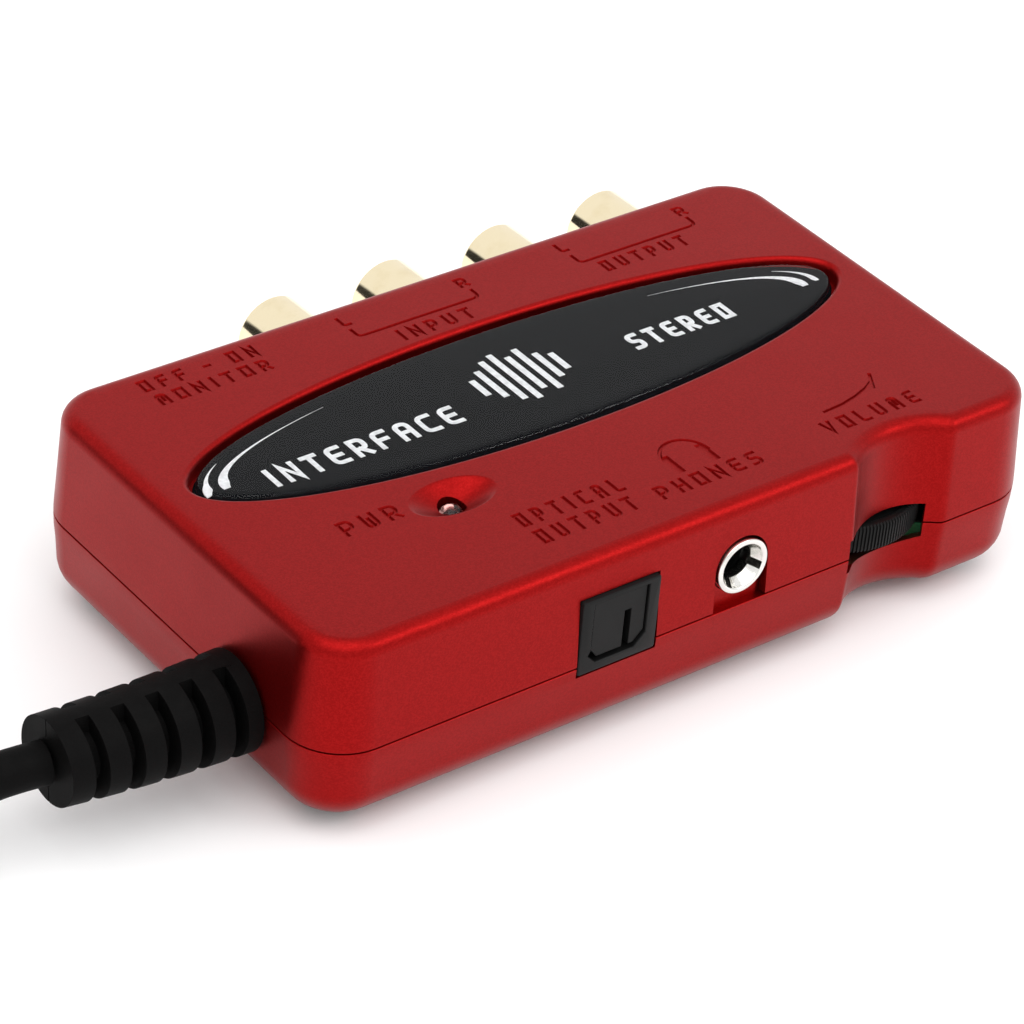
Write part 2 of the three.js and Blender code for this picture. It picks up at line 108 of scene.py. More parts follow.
# ---- Settings ----
class AudioCaseSettings(PropertyGroup):
    """The red shells and what is sunk into them"""
    corner_crisp: FloatProperty(
        name="Crisp edge", description="Rounding where the finger scallop starts, by the phones socket",
        default=0.0005, min=0.0001, max=0.003, unit="LENGTH", subtype="DISTANCE")
    corner_soft: FloatProperty(
        name="Soft edge", description="Rounding where the finger scallop ends, by the right end",
        default=0.0016, min=0.0001, max=0.003, unit="LENGTH", subtype="DISTANCE")
    label_depth: FloatProperty(
        name="Label depth", description="How deep the labels are sunk into the top",
        default=0.0002, min=0.0001, max=0.0006, unit="LENGTH", subtype="DISTANCE")
    paint: FloatVectorProperty(
        name="Paint", description="Colour of the metallic paint", subtype="COLOR",
        default=(0.262, 0.003, 0.003), min=0, max=1)
    flake: FloatVectorProperty(
        name="Flake", description="Colour of the brightest flakes in the paint", subtype="COLOR",
        default=(0.385, 0.008, 0.008), min=0, max=1)


class AudioBadgeSettings(PropertyGroup):
    """The oval badge under its clear window"""
    window_edge: FloatProperty(
        name="Window edge", description="Rounding round the window's top edge",
        default=0.0006, min=0.0001, max=0.001, unit="LENGTH", subtype="DISTANCE")
    print_width: FloatProperty(
        name="Print width", description="Width of the strokes of the printed words",
        default=0.00055, min=0.0002, max=0.001, unit="LENGTH", subtype="DISTANCE")
    ink: FloatVectorProperty(
        name="Ink", description="Colour of the printed words", subtype="COLOR",
        default=(0.86, 0.87, 0.88), min=0, max=1)


class AudioControlSettings(PropertyGroup):
    """The volume wheel and the sockets"""
    wheel_ribs: IntProperty(
        name="Wheel ribs", description="Fine ribs round the rim of the volume wheel",
        default=150, min=40, max=200)
    rib_depth: FloatProperty(
        name="Rib depth", description="Depth of the grooves between the ribs",
        default=0.00016, min=0.0001, max=0.0005, unit="LENGTH", subtype="DISTANCE")
    gold: FloatVectorProperty(
        name="Plating", description="Colour of the plated phono barrels", subtype="COLOR",
        default=(0.92, 0.80, 0.56), min=0, max=1)


class AudioLeadSettings(PropertyGroup):
    """The captive lead, its strain relief and plug"""
    diameter: FloatProperty(
        name="Diameter", description="Diameter of the lead",
        default=0.0043, min=0.003, max=0.006, unit="LENGTH", subtype="DISTANCE")
    rubber: FloatVectorProperty(
        name="Sleeve", description="Colour of the lead and its strain relief", subtype="COLOR",
        default=(0.003, 0.0028, 0.0028), min=0, max=1)


class AudioStageSettings(PropertyGroup):
    """Floor, lights and camera"""
    floor: FloatVectorProperty(
        name="Floor", description="Colour of the floor", subtype="COLOR",
        default=(0.96, 0.96, 0.96), min=0, max=1)
    key_power: FloatProperty(
        name="Overhead light", description="Power of the large light overhead",
        default=9.5, min=0, max=200, unit="POWER")
    surround: FloatProperty(
        name="Surround", description="Brightness of the pale studio all round",
        default=1.0, min=0, max=5)
    lens: FloatProperty(
        name="Lens", description="Focal length on a 36 mm sensor, in millimetres",
        default=145.05, min=20, max=300)


# ---- Shapes, in millimetres ----
def ring_of(points, z):
    return [(x, y, z) for x, y in points]


def ellipse(cx, cy, rx, ry, sides=72):
    turn = [2 * math.pi * i / sides for i in range(sides)]
    return [(cx + rx * math.cos(a), cy + ry * math.sin(a)) for a in turn]


def rounded_rect(cx, cy, half_x, half_y, r, steps=5):
    points = []
    for corner, (sx, sy) in enumerate(((1, 1), (-1, 1), (-1, -1), (1, -1))):
        for i in range(steps + 1):
            a = (corner + i / steps) * math.pi / 2
            points.append((cx + sx * (half_x - r) + r * math.cos(a),
                cy + sy * (half_y - r) + r * math.sin(a)))
    return points


def loft(rings, closed=False):
    """A skin over rings of equal count, capped at both ends, or joined end to end when closed."""
    count = len(rings[0])
    verts = [p for ring in rings for p in ring]
    faces = []
    spans = len(rings) if closed else len(rings) - 1
    for k in range(spans):
        a0, b0 = k * count, ((k + 1) % len(rings)) * count
        for i in range(count):
            j = (i + 1) % count
            faces.append((a0 + i, a0 + j, b0 + j, b0 + i))
    if not closed:
        faces.append(tuple(reversed(range(count))))
        faces.append(tuple(range(spans * count, spans * count + count)))
    return verts, faces


def turned(profile, sides=48, closed=False):
    """A skin turned round the Z axis from (radius, height) points."""
    return loft([[(r * math.cos(2 * math.pi * i / sides), r * math.sin(2 * math.pi * i / sides), h)
                  for i in range(sides)] for r, h in profile], closed)


def eased(points, radii, steps=4):
    """The same profile with its inner corners rounded; radii is one number or one for each point."""
    if not isinstance(radii, (list, tuple)):
        radii = [radii] * len(points)
    made = [points[0]]
    for k in range(1, len(points) - 1):
        p, q, s = (Vector(points[k + d]) for d in (-1, 0, 1))
        r = min(radii[k], (q - p).length * 0.48, (s - q).length * 0.48)
        if r <= 0:
            made.append(tuple(q))
            continue
        a, b = q + (p - q).normalized() * r, q + (s - q).normalized() * r
        for i in range(steps + 1):
            t = i / steps
            made.append(tuple(a * (1 - t) ** 2 + q * 2 * t * (1 - t) + b * t ** 2))
    made.append(points[-1])
    return made


def block(x0, x1, y0, y1, z0, z1, edge=0.15, r=0.3, steps=3):
    """A box with rounded corners and softened top and bottom edges."""
    cx, cy, hx, hy = (x0 + x1) / 2, (y0 + y1) / 2, (x1 - x0) / 2, (y1 - y0) / 2
    levels = [(z0, edge)]
    levels += [(z0 + edge * (1 - math.cos(a)), edge * (1 - math.sin(a))) for a in (0.5, 1.0, math.pi / 2)]
    levels += [(z1 - (z - z0), inset) for z, inset in reversed(levels)]
    return loft([ring_of(rounded_rect(cx, cy, hx - i, hy - i, max(r, edge + 0.02) - i, steps), z)
                 for z, i in levels])


def plain_box(x0, x1, y0, y1, z0, z1):
    return loft([[(x0, y0, z), (x1, y0, z), (x1, y1, z), (x0, y1, z)] for z in (z0, z1)])


def turn_to(mesh, axis, centre=(0, 0, 0)):
    """Lays a shape made round +Z along another axis, then moves it."""
    swap = {"z": lambda u, v, w: (u, v, w), "y": lambda u, v, w: (u, w, v), "x": lambda u, v,
        w: (w, u, v)}[axis]
    verts = [tuple(c + d for c, d in zip(swap(*p), centre)) for p in mesh[0]]
    return verts, mesh[1]


def moved(mesh, dx=0, dy=0, dz=0):
    return [(x + dx, y + dy, z + dz) for x, y, z in mesh[0]], mesh[1]


def merged(*meshes):
    verts, faces = [], []
    for v, f in meshes:
        start = len(verts)
        verts += v
        faces += [tuple(i + start for i in face) for face in f]
    return verts, faces


def bar(axis, r, start, end, u, v, sides=40):
    """A round bar along an axis, centred on the other two coordinates."""
    middle = {"x": (0, u, v), "y": (u, 0, v), "z": (u, v, 0)}[axis]
    return turn_to(turned([(r, start), (r, end)], sides), axis, middle)


def stroke(points, wide, narrow, z0, z1, closed=False):
    """A bar along a level line: wide at z1 and narrow at z0, with mitred corners and square ends."""
    pts = [Vector(p) for p in points]
    count = len(pts)
    rings = []
    for k, p in enumerate(pts):
        before = pts[k - 1] if closed or k else None
        after = pts[(k + 1) % count] if closed or k < count - 1 else None
        into = (p - before).normalized() if before is not None else (after - p).normalized()
        out = (after - p).normalized() if after is not None else into
        n0, n1 = Vector((-into.y, into.x)), Vector((-out.y, out.x))
        side = (n0 + n1).normalized()
        side /= max(side.dot(n0), 0.35)
        ring = []
        for width, z in ((wide, z1), (narrow, z0)):
            shift = Vector((0, 0))
            if not closed and k == 0:
                shift = -out * width / 2
            elif not closed and k == count - 1:
                shift = into * width / 2
            ring.append((p + side * width / 2 + shift, z))
            ring.append((p - side * width / 2 + shift, z))
        rings.append([(q.x, q.y, z) for q, z in (ring[0], ring[1], ring[3], ring[2])])
    return loft(rings, closed)


# Letters on a unit square, as lines; each keeps its corners square or takes a small round.
LETTERS = {
    "A": [[(0, 0), (0, 1), (1, 1), (1, 0)], [(0, 0.45), (1, 0.45)]],
    "C": [[(1, 1), (0, 1), (0, 0), (1, 0)]],
    "E": [[(1, 1), (0, 1), (0, 0), (1, 0)], [(0, 0.5), (0.85, 0.5)]],
    "F": [[(1, 1), (0, 1), (0, 0)], [(0, 0.5), (0.85, 0.5)]],
    "H": [[(0, 0), (0, 1)], [(1, 0), (1, 1)], [(0, 0.5), (1, 0.5)]],
    "I": [[(0.5, 0), (0.5, 1)]],
    "L": [[(0, 1), (0, 0), (1, 0)]],
    "M": [[(0, 0), (0, 1), (1, 1), (1, 0)], [(0.5, 1), (0.5, 0.35)]],
    "N": [[(0, 0), (0, 1), (1, 0), (1, 1)]],
    "O": [[(0, 0), (0, 1), (1, 1), (1, 0), (0, 0)]],
    "P": [[(0, 0), (0, 1)], [(0, 1), (1, 1), (1, 0.4), (0, 0.4)]],
    "R": [[(0, 0), (0, 1)], [(0, 1), (1, 1), (1, 0.4), (0, 0.4)], [(0.45, 0.4), (1, 0)]],
    "S": [[(1, 1), (0, 1), (0, 0.5), (1, 0.5), (1, 0), (0, 0)]],
    "T": [[(0, 1), (1, 1)], [(0.5, 1), (0.5, 0)]],
    "U": [[(0, 1), (0, 0), (1, 0), (1, 1)]],
    "V": [[(0, 1), (0.5, 0), (1, 1)]],
    "W": [[(0, 1), (0, 0), (1, 0), (1, 1)], [(0.5, 0), (0.5, 0.65)]],
    "-": [[(0, 0.5), (1, 0.5)]],
}


def lettering(word, x0, x1, y0, y1, width, narrow, z0, z1, gap=0.32):
    """Bars for a word that fills the given rectangle, one closed shape for each line."""
    share = {" ": 0.45, "I": 0.45, "-": 0.8}
    gap_mm = gap * (y1 - y0)
    units = sum(share.get(c, 1) for c in word)
    unit = (x1 - x0 - gap_mm * (len(word) - 1)) / units
    height = y1 - y0 - width
    bars, x = [], x0
    for c in word:
        wide = unit * share.get(c, 1)
        for line in LETTERS.get(c, ()):
            closed = line[0] == line[-1]
            pts = [(x + width / 2 + px * (wide - width), y0 + width / 2 + py * height)
                   for px, py in (line[:-1] if closed else line)]
            if not closed and len(pts) > 2 and c not in "VN":
                pts = eased(pts, max(height * 0.3, width * 0.8), 4)
            bars.append(stroke(pts, width, narrow, z0, z1, closed))
        x += wide + gap_mm
    return bars


# ---- Making Blender objects ----
def mesh_of(shape, name):
    """A mesh in metres with its faces turned outward."""
    mesh = bpy.data.meshes.new(name)
    mesh.from_pydata([[c * MM for c in p] for p in shape[0]], [], shape[1])
    made = bmesh.new()
    made.from_mesh(mesh)
    bmesh.ops.remove_doubles(made, verts=made.verts, dist=1e-7)
    bmesh.ops.recalc_face_normals(made, faces=made.faces)
    made.to_mesh(mesh)
    made.free()
    return mesh


def combine(shape, tools, operation="DIFFERENCE"):
    """The shape with the tools cut away, added or kept in common, as (vertices, faces)."""
    scene = bpy.context.scene
    body = bpy.data.objects.new("combining", mesh_of(shape, "combining"))
    scene.collection.objects.link(body)
    group = bpy.data.collections.new("tools")
    scene.collection.children.link(group)
    for tool in tools:
        group.objects.link(bpy.data.objects.new("tool", mesh_of(tool, "tool")))
    modifier = body.modifiers.new("combine", "BOOLEAN")
    modifier.operation, modifier.operand_type = operation, "COLLECTION"
    modifier.collection, modifier.solver = group, "MANIFOLD"
    bpy.context.view_layer.update()
    result = body.evaluated_get(bpy.context.evaluated_depsgraph_get()).to_mesh()
    verts = [tuple(v.co / MM) for v in result.vertices]
    faces = [tuple(p.vertices) for p in result.polygons]
    for tool in list(group.objects):
        bpy.data.objects.remove(tool)
    bpy.data.collections.remove(group)
    bpy.data.objects.remove(body)
    if not faces:
        raise RuntimeError("a cut left nothing")
    return verts, faces


def squared_off(shape, height, step):
    """The same shape with its flat face at one height divided into squares, so that later cuts stay tidy."""
    mesh = mesh_of(shape, "squares")
    made = bmesh.new()
    made.from_mesh(mesh)
    bpy.data.meshes.remove(mesh)
    spans = [(axis, place) for axis in (0, 1) for place in np.arange(-HALF_X + 0.73, HALF_X, step)]
    for axis, place in spans:
        flat = [f for f in made.faces if all(abs(v.co.z - height * MM) < 1e-6 for v in f.verts)]
        geometry = flat + list({e for f in flat for e in f.edges}) + list({v for f in flat for v in f.verts})
        at, along = [0.0, 0.0, 0.0], [0.0, 0.0, 0.0]
        at[axis], along[axis] = place * MM, 1.0
        bmesh.ops.bisect_plane(made, geom=geometry, dist=1e-7, plane_co=at, plane_no=along)
    made.verts.index_update()
    verts = [tuple(v.co / MM) for v in made.verts]
    faces = [tuple(v.index for v in f.verts) for f in made.faces]
    made.free()
    return verts, faces


def make_piece(name, shape, body, slot, *nodes, sharp=34, bevel=0.0, even=False):
    """One named piece that rides on a body, takes a finish and stands for the frame's nodes."""
    mesh = mesh_of(shape, name)
    piece = bpy.data.objects.new(name, mesh)
    bpy.context.scene.collection.objects.link(piece)
    if bevel:
        soften = piece.modifiers.new("Soft edges", "BEVEL")
        soften.width, soften.segments, soften.limit_method = bevel * MM, 2, "ANGLE"
        soften.angle_limit, soften.use_clamp_overlap = math.radians(38), True
    mesh.shade_smooth()
    mesh.set_sharp_from_angle(angle=math.radians(sharp))
    if even:
        weigh = piece.modifiers.new("Even faces", "WEIGHTED_NORMAL")
        weigh.keep_sharp, weigh.weight = True, 80
    mesh.materials.append(finish(slot))
    if nodes:
        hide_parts(*nodes)
    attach(piece, body)
    return piece


def dress_node(node, slot):
    """A frame node whose shape is right keeps it and takes a procedural finish."""
    target = frame["nodes"][node]
    target.data.materials.clear()
    target.data.materials.append(finish(slot))


# ---- Effects shared by the finishes ----
def effect(name, inputs, outputs):
    """A shader node group with its sockets made, as (tree, inputs node, outputs node)."""
    tree = bpy.data.node_groups.new(name, "ShaderNodeTree")
    kinds = {"f": "NodeSocketFloat", "c": "NodeSocketColor", "v": "NodeSocketVector"}
    for label, kind in inputs:
        tree.interface.new_socket(name=label, in_out="INPUT", socket_type=kinds[kind])
    for label, kind in outputs:
        tree.interface.new_socket(name=label, in_out="OUTPUT", socket_type=kinds[kind])
    return tree, tree.nodes.new("NodeGroupInput"), tree.nodes.new("NodeGroupOutput")


def node(tree, kind, **values):
    """A shader node with its settings, or its input values where the name starts with in_."""
    made = tree.nodes.new(kind)
    for key, value in values.items():
        if key.startswith("in_"):
            made.inputs[key[3:].replace("_", " ")].default_value = value
        else:
            setattr(made, key, value)
    return made


def noise(tree, coordinates, scale, detail=3.0):
    made = node(tree, "ShaderNodeTexNoise", in_Detail=detail)
    tree.links.new(coordinates, made.inputs["Vector"])
    if isinstance(scale, (int, float)):
        made.inputs["Scale"].default_value = scale
    else:
        tree.links.new(scale, made.inputs["Scale"])
    return made.outputs["Fac"]


def spread(tree, value, low, high, from_low=0.3, from_high=0.7):
    """value from its usual range to low...high, which are numbers or sockets."""
    made = node(tree, "ShaderNodeMapRange", in_From_Min=from_low, in_From_Max=from_high)
    tree.links.new(value, made.inputs["Value"])
    for label, end in (("To Min", low), ("To Max", high)):
        if isinstance(end, (int, float)):
            made.inputs[label].default_value = end
        else:
            tree.links.new(end, made.inputs[label])
    return made.outputs["Result"]


def blend_colours(tree, share, a, b):
    made = node(tree, "ShaderNodeMix", data_type="RGBA")
    for socket, value in ((made.inputs[0], share), (made.inputs[6], a), (made.inputs[7], b)):
        if isinstance(value, bpy.types.NodeSocket):
            tree.links.new(value, socket)
        else:
            socket.default_value = value
    return made.outputs[2]


def paint_flake_effect():
    """Metal flakes under a satin lacquer: their colour, and the lacquer's faint orange-peel height."""
    tree, given, out = effect("Paint flake", (("Coordinates", "v"), ("Scale", "f"), ("Body", "c"),
        ("Flake", "c")),
                              (("Colour", "c"), ("Height", "f"), ("Shine", "f")))
    cells = node(tree, "ShaderNodeTexVoronoi", feature="F1")
    tree.links.new(given.outputs["Coordinates"], cells.inputs["Vector"])
    tree.links.new(given.outputs["Scale"], cells.inputs["Scale"])
    split = node(tree, "ShaderNodeSeparateColor")
    tree.links.new(cells.outputs["Color"], split.inputs[0])
    share = spread(tree, split.outputs[0], 0.0, 0.55, 0.25, 1.0)
    tree.links.new(blend_colours(tree, share, given.outputs["Body"], given.outputs["Flake"]),
        out.inputs["Colour"])
    tree.links.new(spread(tree, split.outputs[1], -0.5, 0.5, 0.0, 1.0), out.inputs["Height"])
    tree.links.new(spread(tree, split.outputs[2], 0.0, 1.0, 0.0, 1.0), out.inputs["Shine"])
    return tree


def moulded_grain_effect():
    """Fine pebbled skin of moulded plastic or rubber: its height, shade and roughness."""
    tree, given, out = effect("Moulded grain", (("Coordinates", "v"), ("Scale", "f"), ("Smooth", "f"),
        ("Rough", "f")),
                              (("Height", "f"), ("Shade", "f"), ("Roughness", "f")))
    fine = noise(tree, given.outputs["Coordinates"], given.outputs["Scale"], 4)
    broad = noise(tree, given.outputs["Coordinates"], 160.0, 2)
    tree.links.new(fine, out.inputs["Height"])
    tree.links.new(spread(tree, fine, 0.0, 1.0), out.inputs["Shade"])
    tree.links.new(spread(tree, broad, given.outputs["Smooth"], given.outputs["Rough"]),
        out.inputs["Roughness"])
    return tree


def fine_dust_effect():
    """A trace of dust where a surface faces up."""
    tree, given, out = effect("Fine dust", (("Coordinates", "v"), ("Amount", "f")), (("Mask", "f"),))
    facing = node(tree, "ShaderNodeNewGeometry")
    parts = node(tree, "ShaderNodeSeparateXYZ")
    tree.links.new(facing.outputs["Normal"], parts.inputs[0])
    up = spread(tree, parts.outputs["Z"], 0.0, 1.0, 0.2, 1.0)
    specks = spread(tree, noise(tree, given.outputs["Coordinates"], 900.0, 5), 0.0, 1.0, 0.45, 0.75)
    both = node(tree, "ShaderNodeMath", operation="MULTIPLY")
    tree.links.new(up, both.inputs[0])
    tree.links.new(specks, both.inputs[1])
    scaled = node(tree, "ShaderNodeMath", operation="MULTIPLY", use_clamp=True)
    tree.links.new(both.outputs[0], scaled.inputs[0])
    tree.links.new(given.outputs["Amount"], scaled.inputs[1])
    tree.links.new(scaled.outputs[0], out.inputs["Mask"])
    return tree


def turned_metal_effect():
    """Polished metal with faint tool marks and tarnish."""
    tree, given, out = effect("Turned metal", (("Coordinates", "v"), ("Scale", "f"), ("Smooth", "f"),
        ("Rough", "f")),
                              (("Roughness", "f"), ("Tarnish", "f"), ("Height", "f")))
    broad = noise(tree, given.outputs["Coordinates"], 380.0, 4)
    marks = noise(tree, given.outputs["Coordinates"], given.outputs["Scale"], 2)
    tree.links.new(spread(tree, broad, given.outputs["Smooth"], given.outputs["Rough"]),
        out.inputs["Roughness"])
    tree.links.new(spread(tree, broad, 0.0, 1.0, 0.5, 0.8), out.inputs["Tarnish"])
    tree.links.new(marks, out.inputs["Height"])
    return tree


EFFECTS = {"Paint flake": paint_flake_effect, "Moulded grain": moulded_grain_effect,
           "Fine dust": fine_dust_effect, "Turned metal": turned_metal_effect}


def place_effect(tree, name, coordinates, **values):
    made = tree.nodes.new("ShaderNodeGroup")
    made.node_tree = bpy.data.node_groups.get(name) or EFFECTS[name]()
    tree.links.new(coordinates, made.inputs["Coordinates"])
    for key, value in values.items():
        made.inputs[key].default_value = value
    return made


def start_finish(name, **values):
    """A material with a Principled shader, as (material, tree, shader, coordinates)."""
    made = bpy.data.materials.new(name)
    made.use_nodes = True
    tree = made.node_tree
    shader = tree.nodes["Principled BSDF"]
    for key, value in values.items():
        shader.inputs[key.replace("_", " ")].default_value = value
    return made, tree, shader, tree.nodes.new("ShaderNodeTexCoord").outputs["Object"]


def add_relief(tree, shader, height, strength, distance):
    relief = node(tree, "ShaderNodeBump", in_Strength=strength, in_Distance=distance)
    tree.links.new(height, relief.inputs["Height"])
    tree.links.new(relief.outputs["Normal"], shader.inputs["Normal"])


def rgba(colour, scale=1.0):
    return (*(c * scale for c in colour[:3]), 1.0)


def paint_finish(name):
    settings = bpy.context.scene.audio_case
    made, tree, shader, where = start_finish(name, Metallic=0.93)
    flake = place_effect(tree, "Paint flake", where, Scale=7500.0,
                         Body=rgba(settings.paint), Flake=rgba(settings.flake))
    skin = place_effect(tree, "Moulded grain", where, Scale=5200.0, Smooth=0.36, Rough=0.41)
    tree.links.new(flake.outputs["Colour"], shader.inputs["Base Color"])
    tree.links.new(skin.outputs["Roughness"], shader.inputs["Roughness"])
    heights = node(tree, "ShaderNodeMath", operation="ADD")
    tree.links.new(flake.outputs["Height"], heights.inputs[0])
    tree.links.new(skin.outputs["Height"], heights.inputs[1])
    add_relief(tree, shader, heights.outputs[0], 0.10, 0.00003)
    return made


def plastic_finish(name, colour, smooth, rough, grain=2400.0, relief=0.12, dust=0.05,
        dust_colour=(0.35, 0.34, 0.33), **extra):
    """Moulded plastic or rubber with a fine grain and a trace of dust."""
    made, tree, shader, where = start_finish(name, **extra)
    skin = place_effect(tree, "Moulded grain", where, Scale=grain, Smooth=smooth, Rough=rough)
    specks = place_effect(tree, "Fine dust", where, Amount=dust)
    shade = blend_colours(tree, skin.outputs["Shade"], rgba(colour, 0.86), rgba(colour, 1.14))
    tree.links.new(blend_colours(tree, specks.outputs["Mask"], shade, rgba(dust_colour)),
        shader.inputs["Base Color"])
    tree.links.new(skin.outputs["Roughness"], shader.inputs["Roughness"])
    add_relief(tree, shader, skin.outputs["Height"], relief, 0.0001)
    return made


def metal_finish(name, colour, tarnish, smooth, rough, grain=1800.0):
    made, tree, shader, where = start_finish(name, Metallic=1.0)
    marks = place_effect(tree, "Turned metal", where, Scale=grain, Smooth=smooth, Rough=rough)
    tree.links.new(blend_colours(tree, marks.outputs["Tarnish"], rgba(colour), rgba(tarnish)),
                   shader.inputs["Base Color"])
    tree.links.new(marks.outputs["Roughness"], shader.inputs["Roughness"])
    add_relief(tree, shader, marks.outputs["Height"], 0.02, 0.00005)
    return made


def clear_finish(name, colour, ior, smooth, rough):
    made, tree, shader, where = start_finish(name, Transmission_Weight=1.0, IOR=ior)
    shader.inputs["Base Color"].default_value = rgba(colour)
    skin = place_effect(tree, "Moulded grain", where, Scale=700.0, Smooth=smooth, Rough=rough)
    tree.links.new(skin.outputs["Roughness"], shader.inputs["Roughness"])
    return made


def board_finish(name):
    """Green solder mask with copper runs under it."""
    made, tree, shader, where = start_finish(name, Coat_Weight=0.3, Coat_Roughness=0.2)
    runs = node(tree, "ShaderNodeTexBrick", in_Scale=260.0, in_Mortar_Size=0.06, in_Bias=-0.2,
                in_Color1=(0.010, 0.075, 0.035, 1), in_Color2=(0.014, 0.10, 0.045, 1),
                in_Mortar=(0.03, 0.17, 0.07, 1))
    tree.links.new(where, runs.inputs["Vector"])
    tree.links.new(runs.outputs["Color"], shader.inputs["Base Color"])
    skin = place_effect(tree, "Moulded grain", where, Scale=1500.0, Smooth=0.32, Rough=0.42)
    tree.links.new(skin.outputs["Roughness"], shader.inputs["Roughness"])
    add_relief(tree, shader, runs.outputs["Fac"], 0.2, 0.00004)
    return made


def finish(slot):
    """The material of one slot, made the first time that it is asked for."""
    name = "finish_" + slot
    if name in bpy.data.materials:
        return bpy.data.materials[name]
    scene = bpy.context.scene
    rubber = tuple(scene.audio_lead.rubber)
    recipes = {
        "red_paint": lambda: paint_finish(name),
        "black_badge": lambda: plastic_finish(name, (0.0045, 0.005, 0.006), 0.4, 0.5, 900.0, 0.0, 0.0,
        Specular_IOR_Level=0.0),
        "clear_lens": lambda: clear_finish(name, (0.98, 0.99, 1.0), 1.2, 0.01, 0.02),
        # The lamp's clear lens is tinted pinkish red: painted reflection of the red paint round the lamp
        "blue_lamp": lambda: clear_finish(name, (0.93, 0.50, 0.48), 1.35, 0.05, 0.1),
        "white_plastic": lambda: plastic_finish(name, tuple(scene.audio_badge.ink), 0.34, 0.42, 2000.0,
        0.04, 0.02),
        "red_insulator": lambda: plastic_finish(name, (0.45, 0.012, 0.012), 0.35, 0.45, 1500.0, 0.05, 0.02),
        "green_board": lambda: board_finish(name),
        "black_plastic": lambda: plastic_finish(name, (0.006, 0.006, 0.006), 0.38, 0.48, 4200.0, 0.06,
        0.004, Specular_IOR_Level=0.14),
        "capacitor_sleeve": lambda: plastic_finish(name, (0.012, 0.018, 0.05), 0.25, 0.35, 1200.0, 0.03,
        0.02),
        "nickel": lambda: metal_finish(name, (0.80, 0.79, 0.76), (0.62, 0.60, 0.56), 0.14, 0.24),
        "gold": lambda: metal_finish(name, tuple(scene.audio_controls.gold), (0.86, 0.73, 0.48), 0.08,
        0.12),
        "steel": lambda: metal_finish(name, (0.46, 0.46, 0.47), (0.30, 0.29, 0.28), 0.26, 0.42),
        "black_rubber": lambda: plastic_finish(name, rubber, 0.5, 0.6, 4600.0, 0.14, 0.004,
        Specular_IOR_Level=0.05),
    }
    return recipes[slot]()


# ---- Case shells ----
FRONT_X = sorted({round(float(x), 4) for x in (
    *np.linspace(-38, 17, 10), *np.arange(17, 20.6, 0.15), *np.arange(20.6, 30, 0.6),
    *np.arange(30, 35, 0.25), *np.linspace(35, 38, 4))})


def front_wall(inset):
    """Places of the front wall's outline at FRONT_X, moved in by inset, with rounded scallop corners."""
    settings = bpy.context.scene.audio_case
    x = np.array(FRONT_X)
    u = np.sin(np.linspace(-math.pi / 2, math.pi / 2, 61))
    bulge = np.sqrt(1 - u ** 2)

    def bare(at):
        away = np.abs(at - SCALLOP_X)
        arc = SCALLOP_Y + np.sqrt(np.maximum(SCALLOP_R ** 2 - away ** 2, 0))
        return np.where(away < SCALLOP_R, np.maximum(FRONT, arc), FRONT)

    def moved_in(at, r):
        return np.max(bare(at[:, None] + u[None, :] * r) + r * bulge, axis=1)

    sides = []
    for blend in (settings.corner_crisp / MM, settings.corner_soft / MM):
        at = x[:, None] + u[None, :] * blend
        grown = moved_in(at.ravel(), inset + blend).reshape(at.shape)
        sides.append(np.min(grown - blend * bulge, axis=1))
    return np.where(x < SCALLOP_X, *sides)


def case_ring(z, inset):
    """The case's outline, anticlockwise, at one height."""
    r = max(CORNER - inset, 0.8)
    ring = [(x, y, z) for x, y in zip(FRONT_X, front_wall(inset))]
    steps = 10
    corners = ((1, FRONT + inset + r, -90), (1, BACK - inset - r, 0), (-1, BACK - inset - r, 90),
        (-1, FRONT + inset + r, 180))
    for number, (side, cy, start) in enumerate(corners):
        cx = side * (HALF_X - inset - r)
        first, last = (1, steps) if number == 0 else (0, steps - (number == 3))
        for i in range(first, last + 1):
            a = math.radians(start + 90 * i / steps)
            ring.append((cx + r * math.cos(a), cy + r * math.sin(a), z))
    return ring


def rounded_edge(end_z, up, draft, fillet, steps=10):
    """(height, inset) down a rounded outer edge, from the flat face to the drafted wall."""
    made = [(end_z, draft + fillet + 0.7)]
    for i in range(steps, -1, -1):
        a = (i / steps) * math.pi / 2
        made.append((end_z - up * fillet * (1 - math.sin(a)), draft + fillet * (1 - math.cos(a))))
    return made


def wheel_slot():
    """The slot for the wheel, square outside and wider inside, so that no thick edge shows."""
    levels = ((-31, 18.7, 29.4, 8.7, 12.55), (-28.9, 18.7, 29.4, 8.7, 12.55),
        (-25.3, 16.5, 32.6, 6.6, 12.9))
    return loft([[(x0, y, z0), (x1, y, z0), (x1, y, z1), (x0, y, z1)] for y, x0, x1, z0, z1 in levels])


def wall_tools():
    """What is cut through both shells."""
    box_low, box_high = node_box("optical_housing")
    tools = [
        plain_box(box_low[0] - 0.12, box_high[0] + 0.12, FRONT - 1, -27, box_low[2] - 0.12,
        box_high[2] + 0.12),
        bar("z", WHEEL_R + 0.45, 8.75, 12.45, WHEEL_X, WHEEL_Y, 96),
        wheel_slot(),
        bar("x", 3.6, -HALF_X - 1, -41, RELIEF_Y, RELIEF_Z, 48),
    ]
    for name in SOCKET_NAMES:
        x, _, z = node_middle(name + "_barrel")
        tools.append(bar("y", 4.4, 16, BACK + 1, x, z, 48))
    return tools


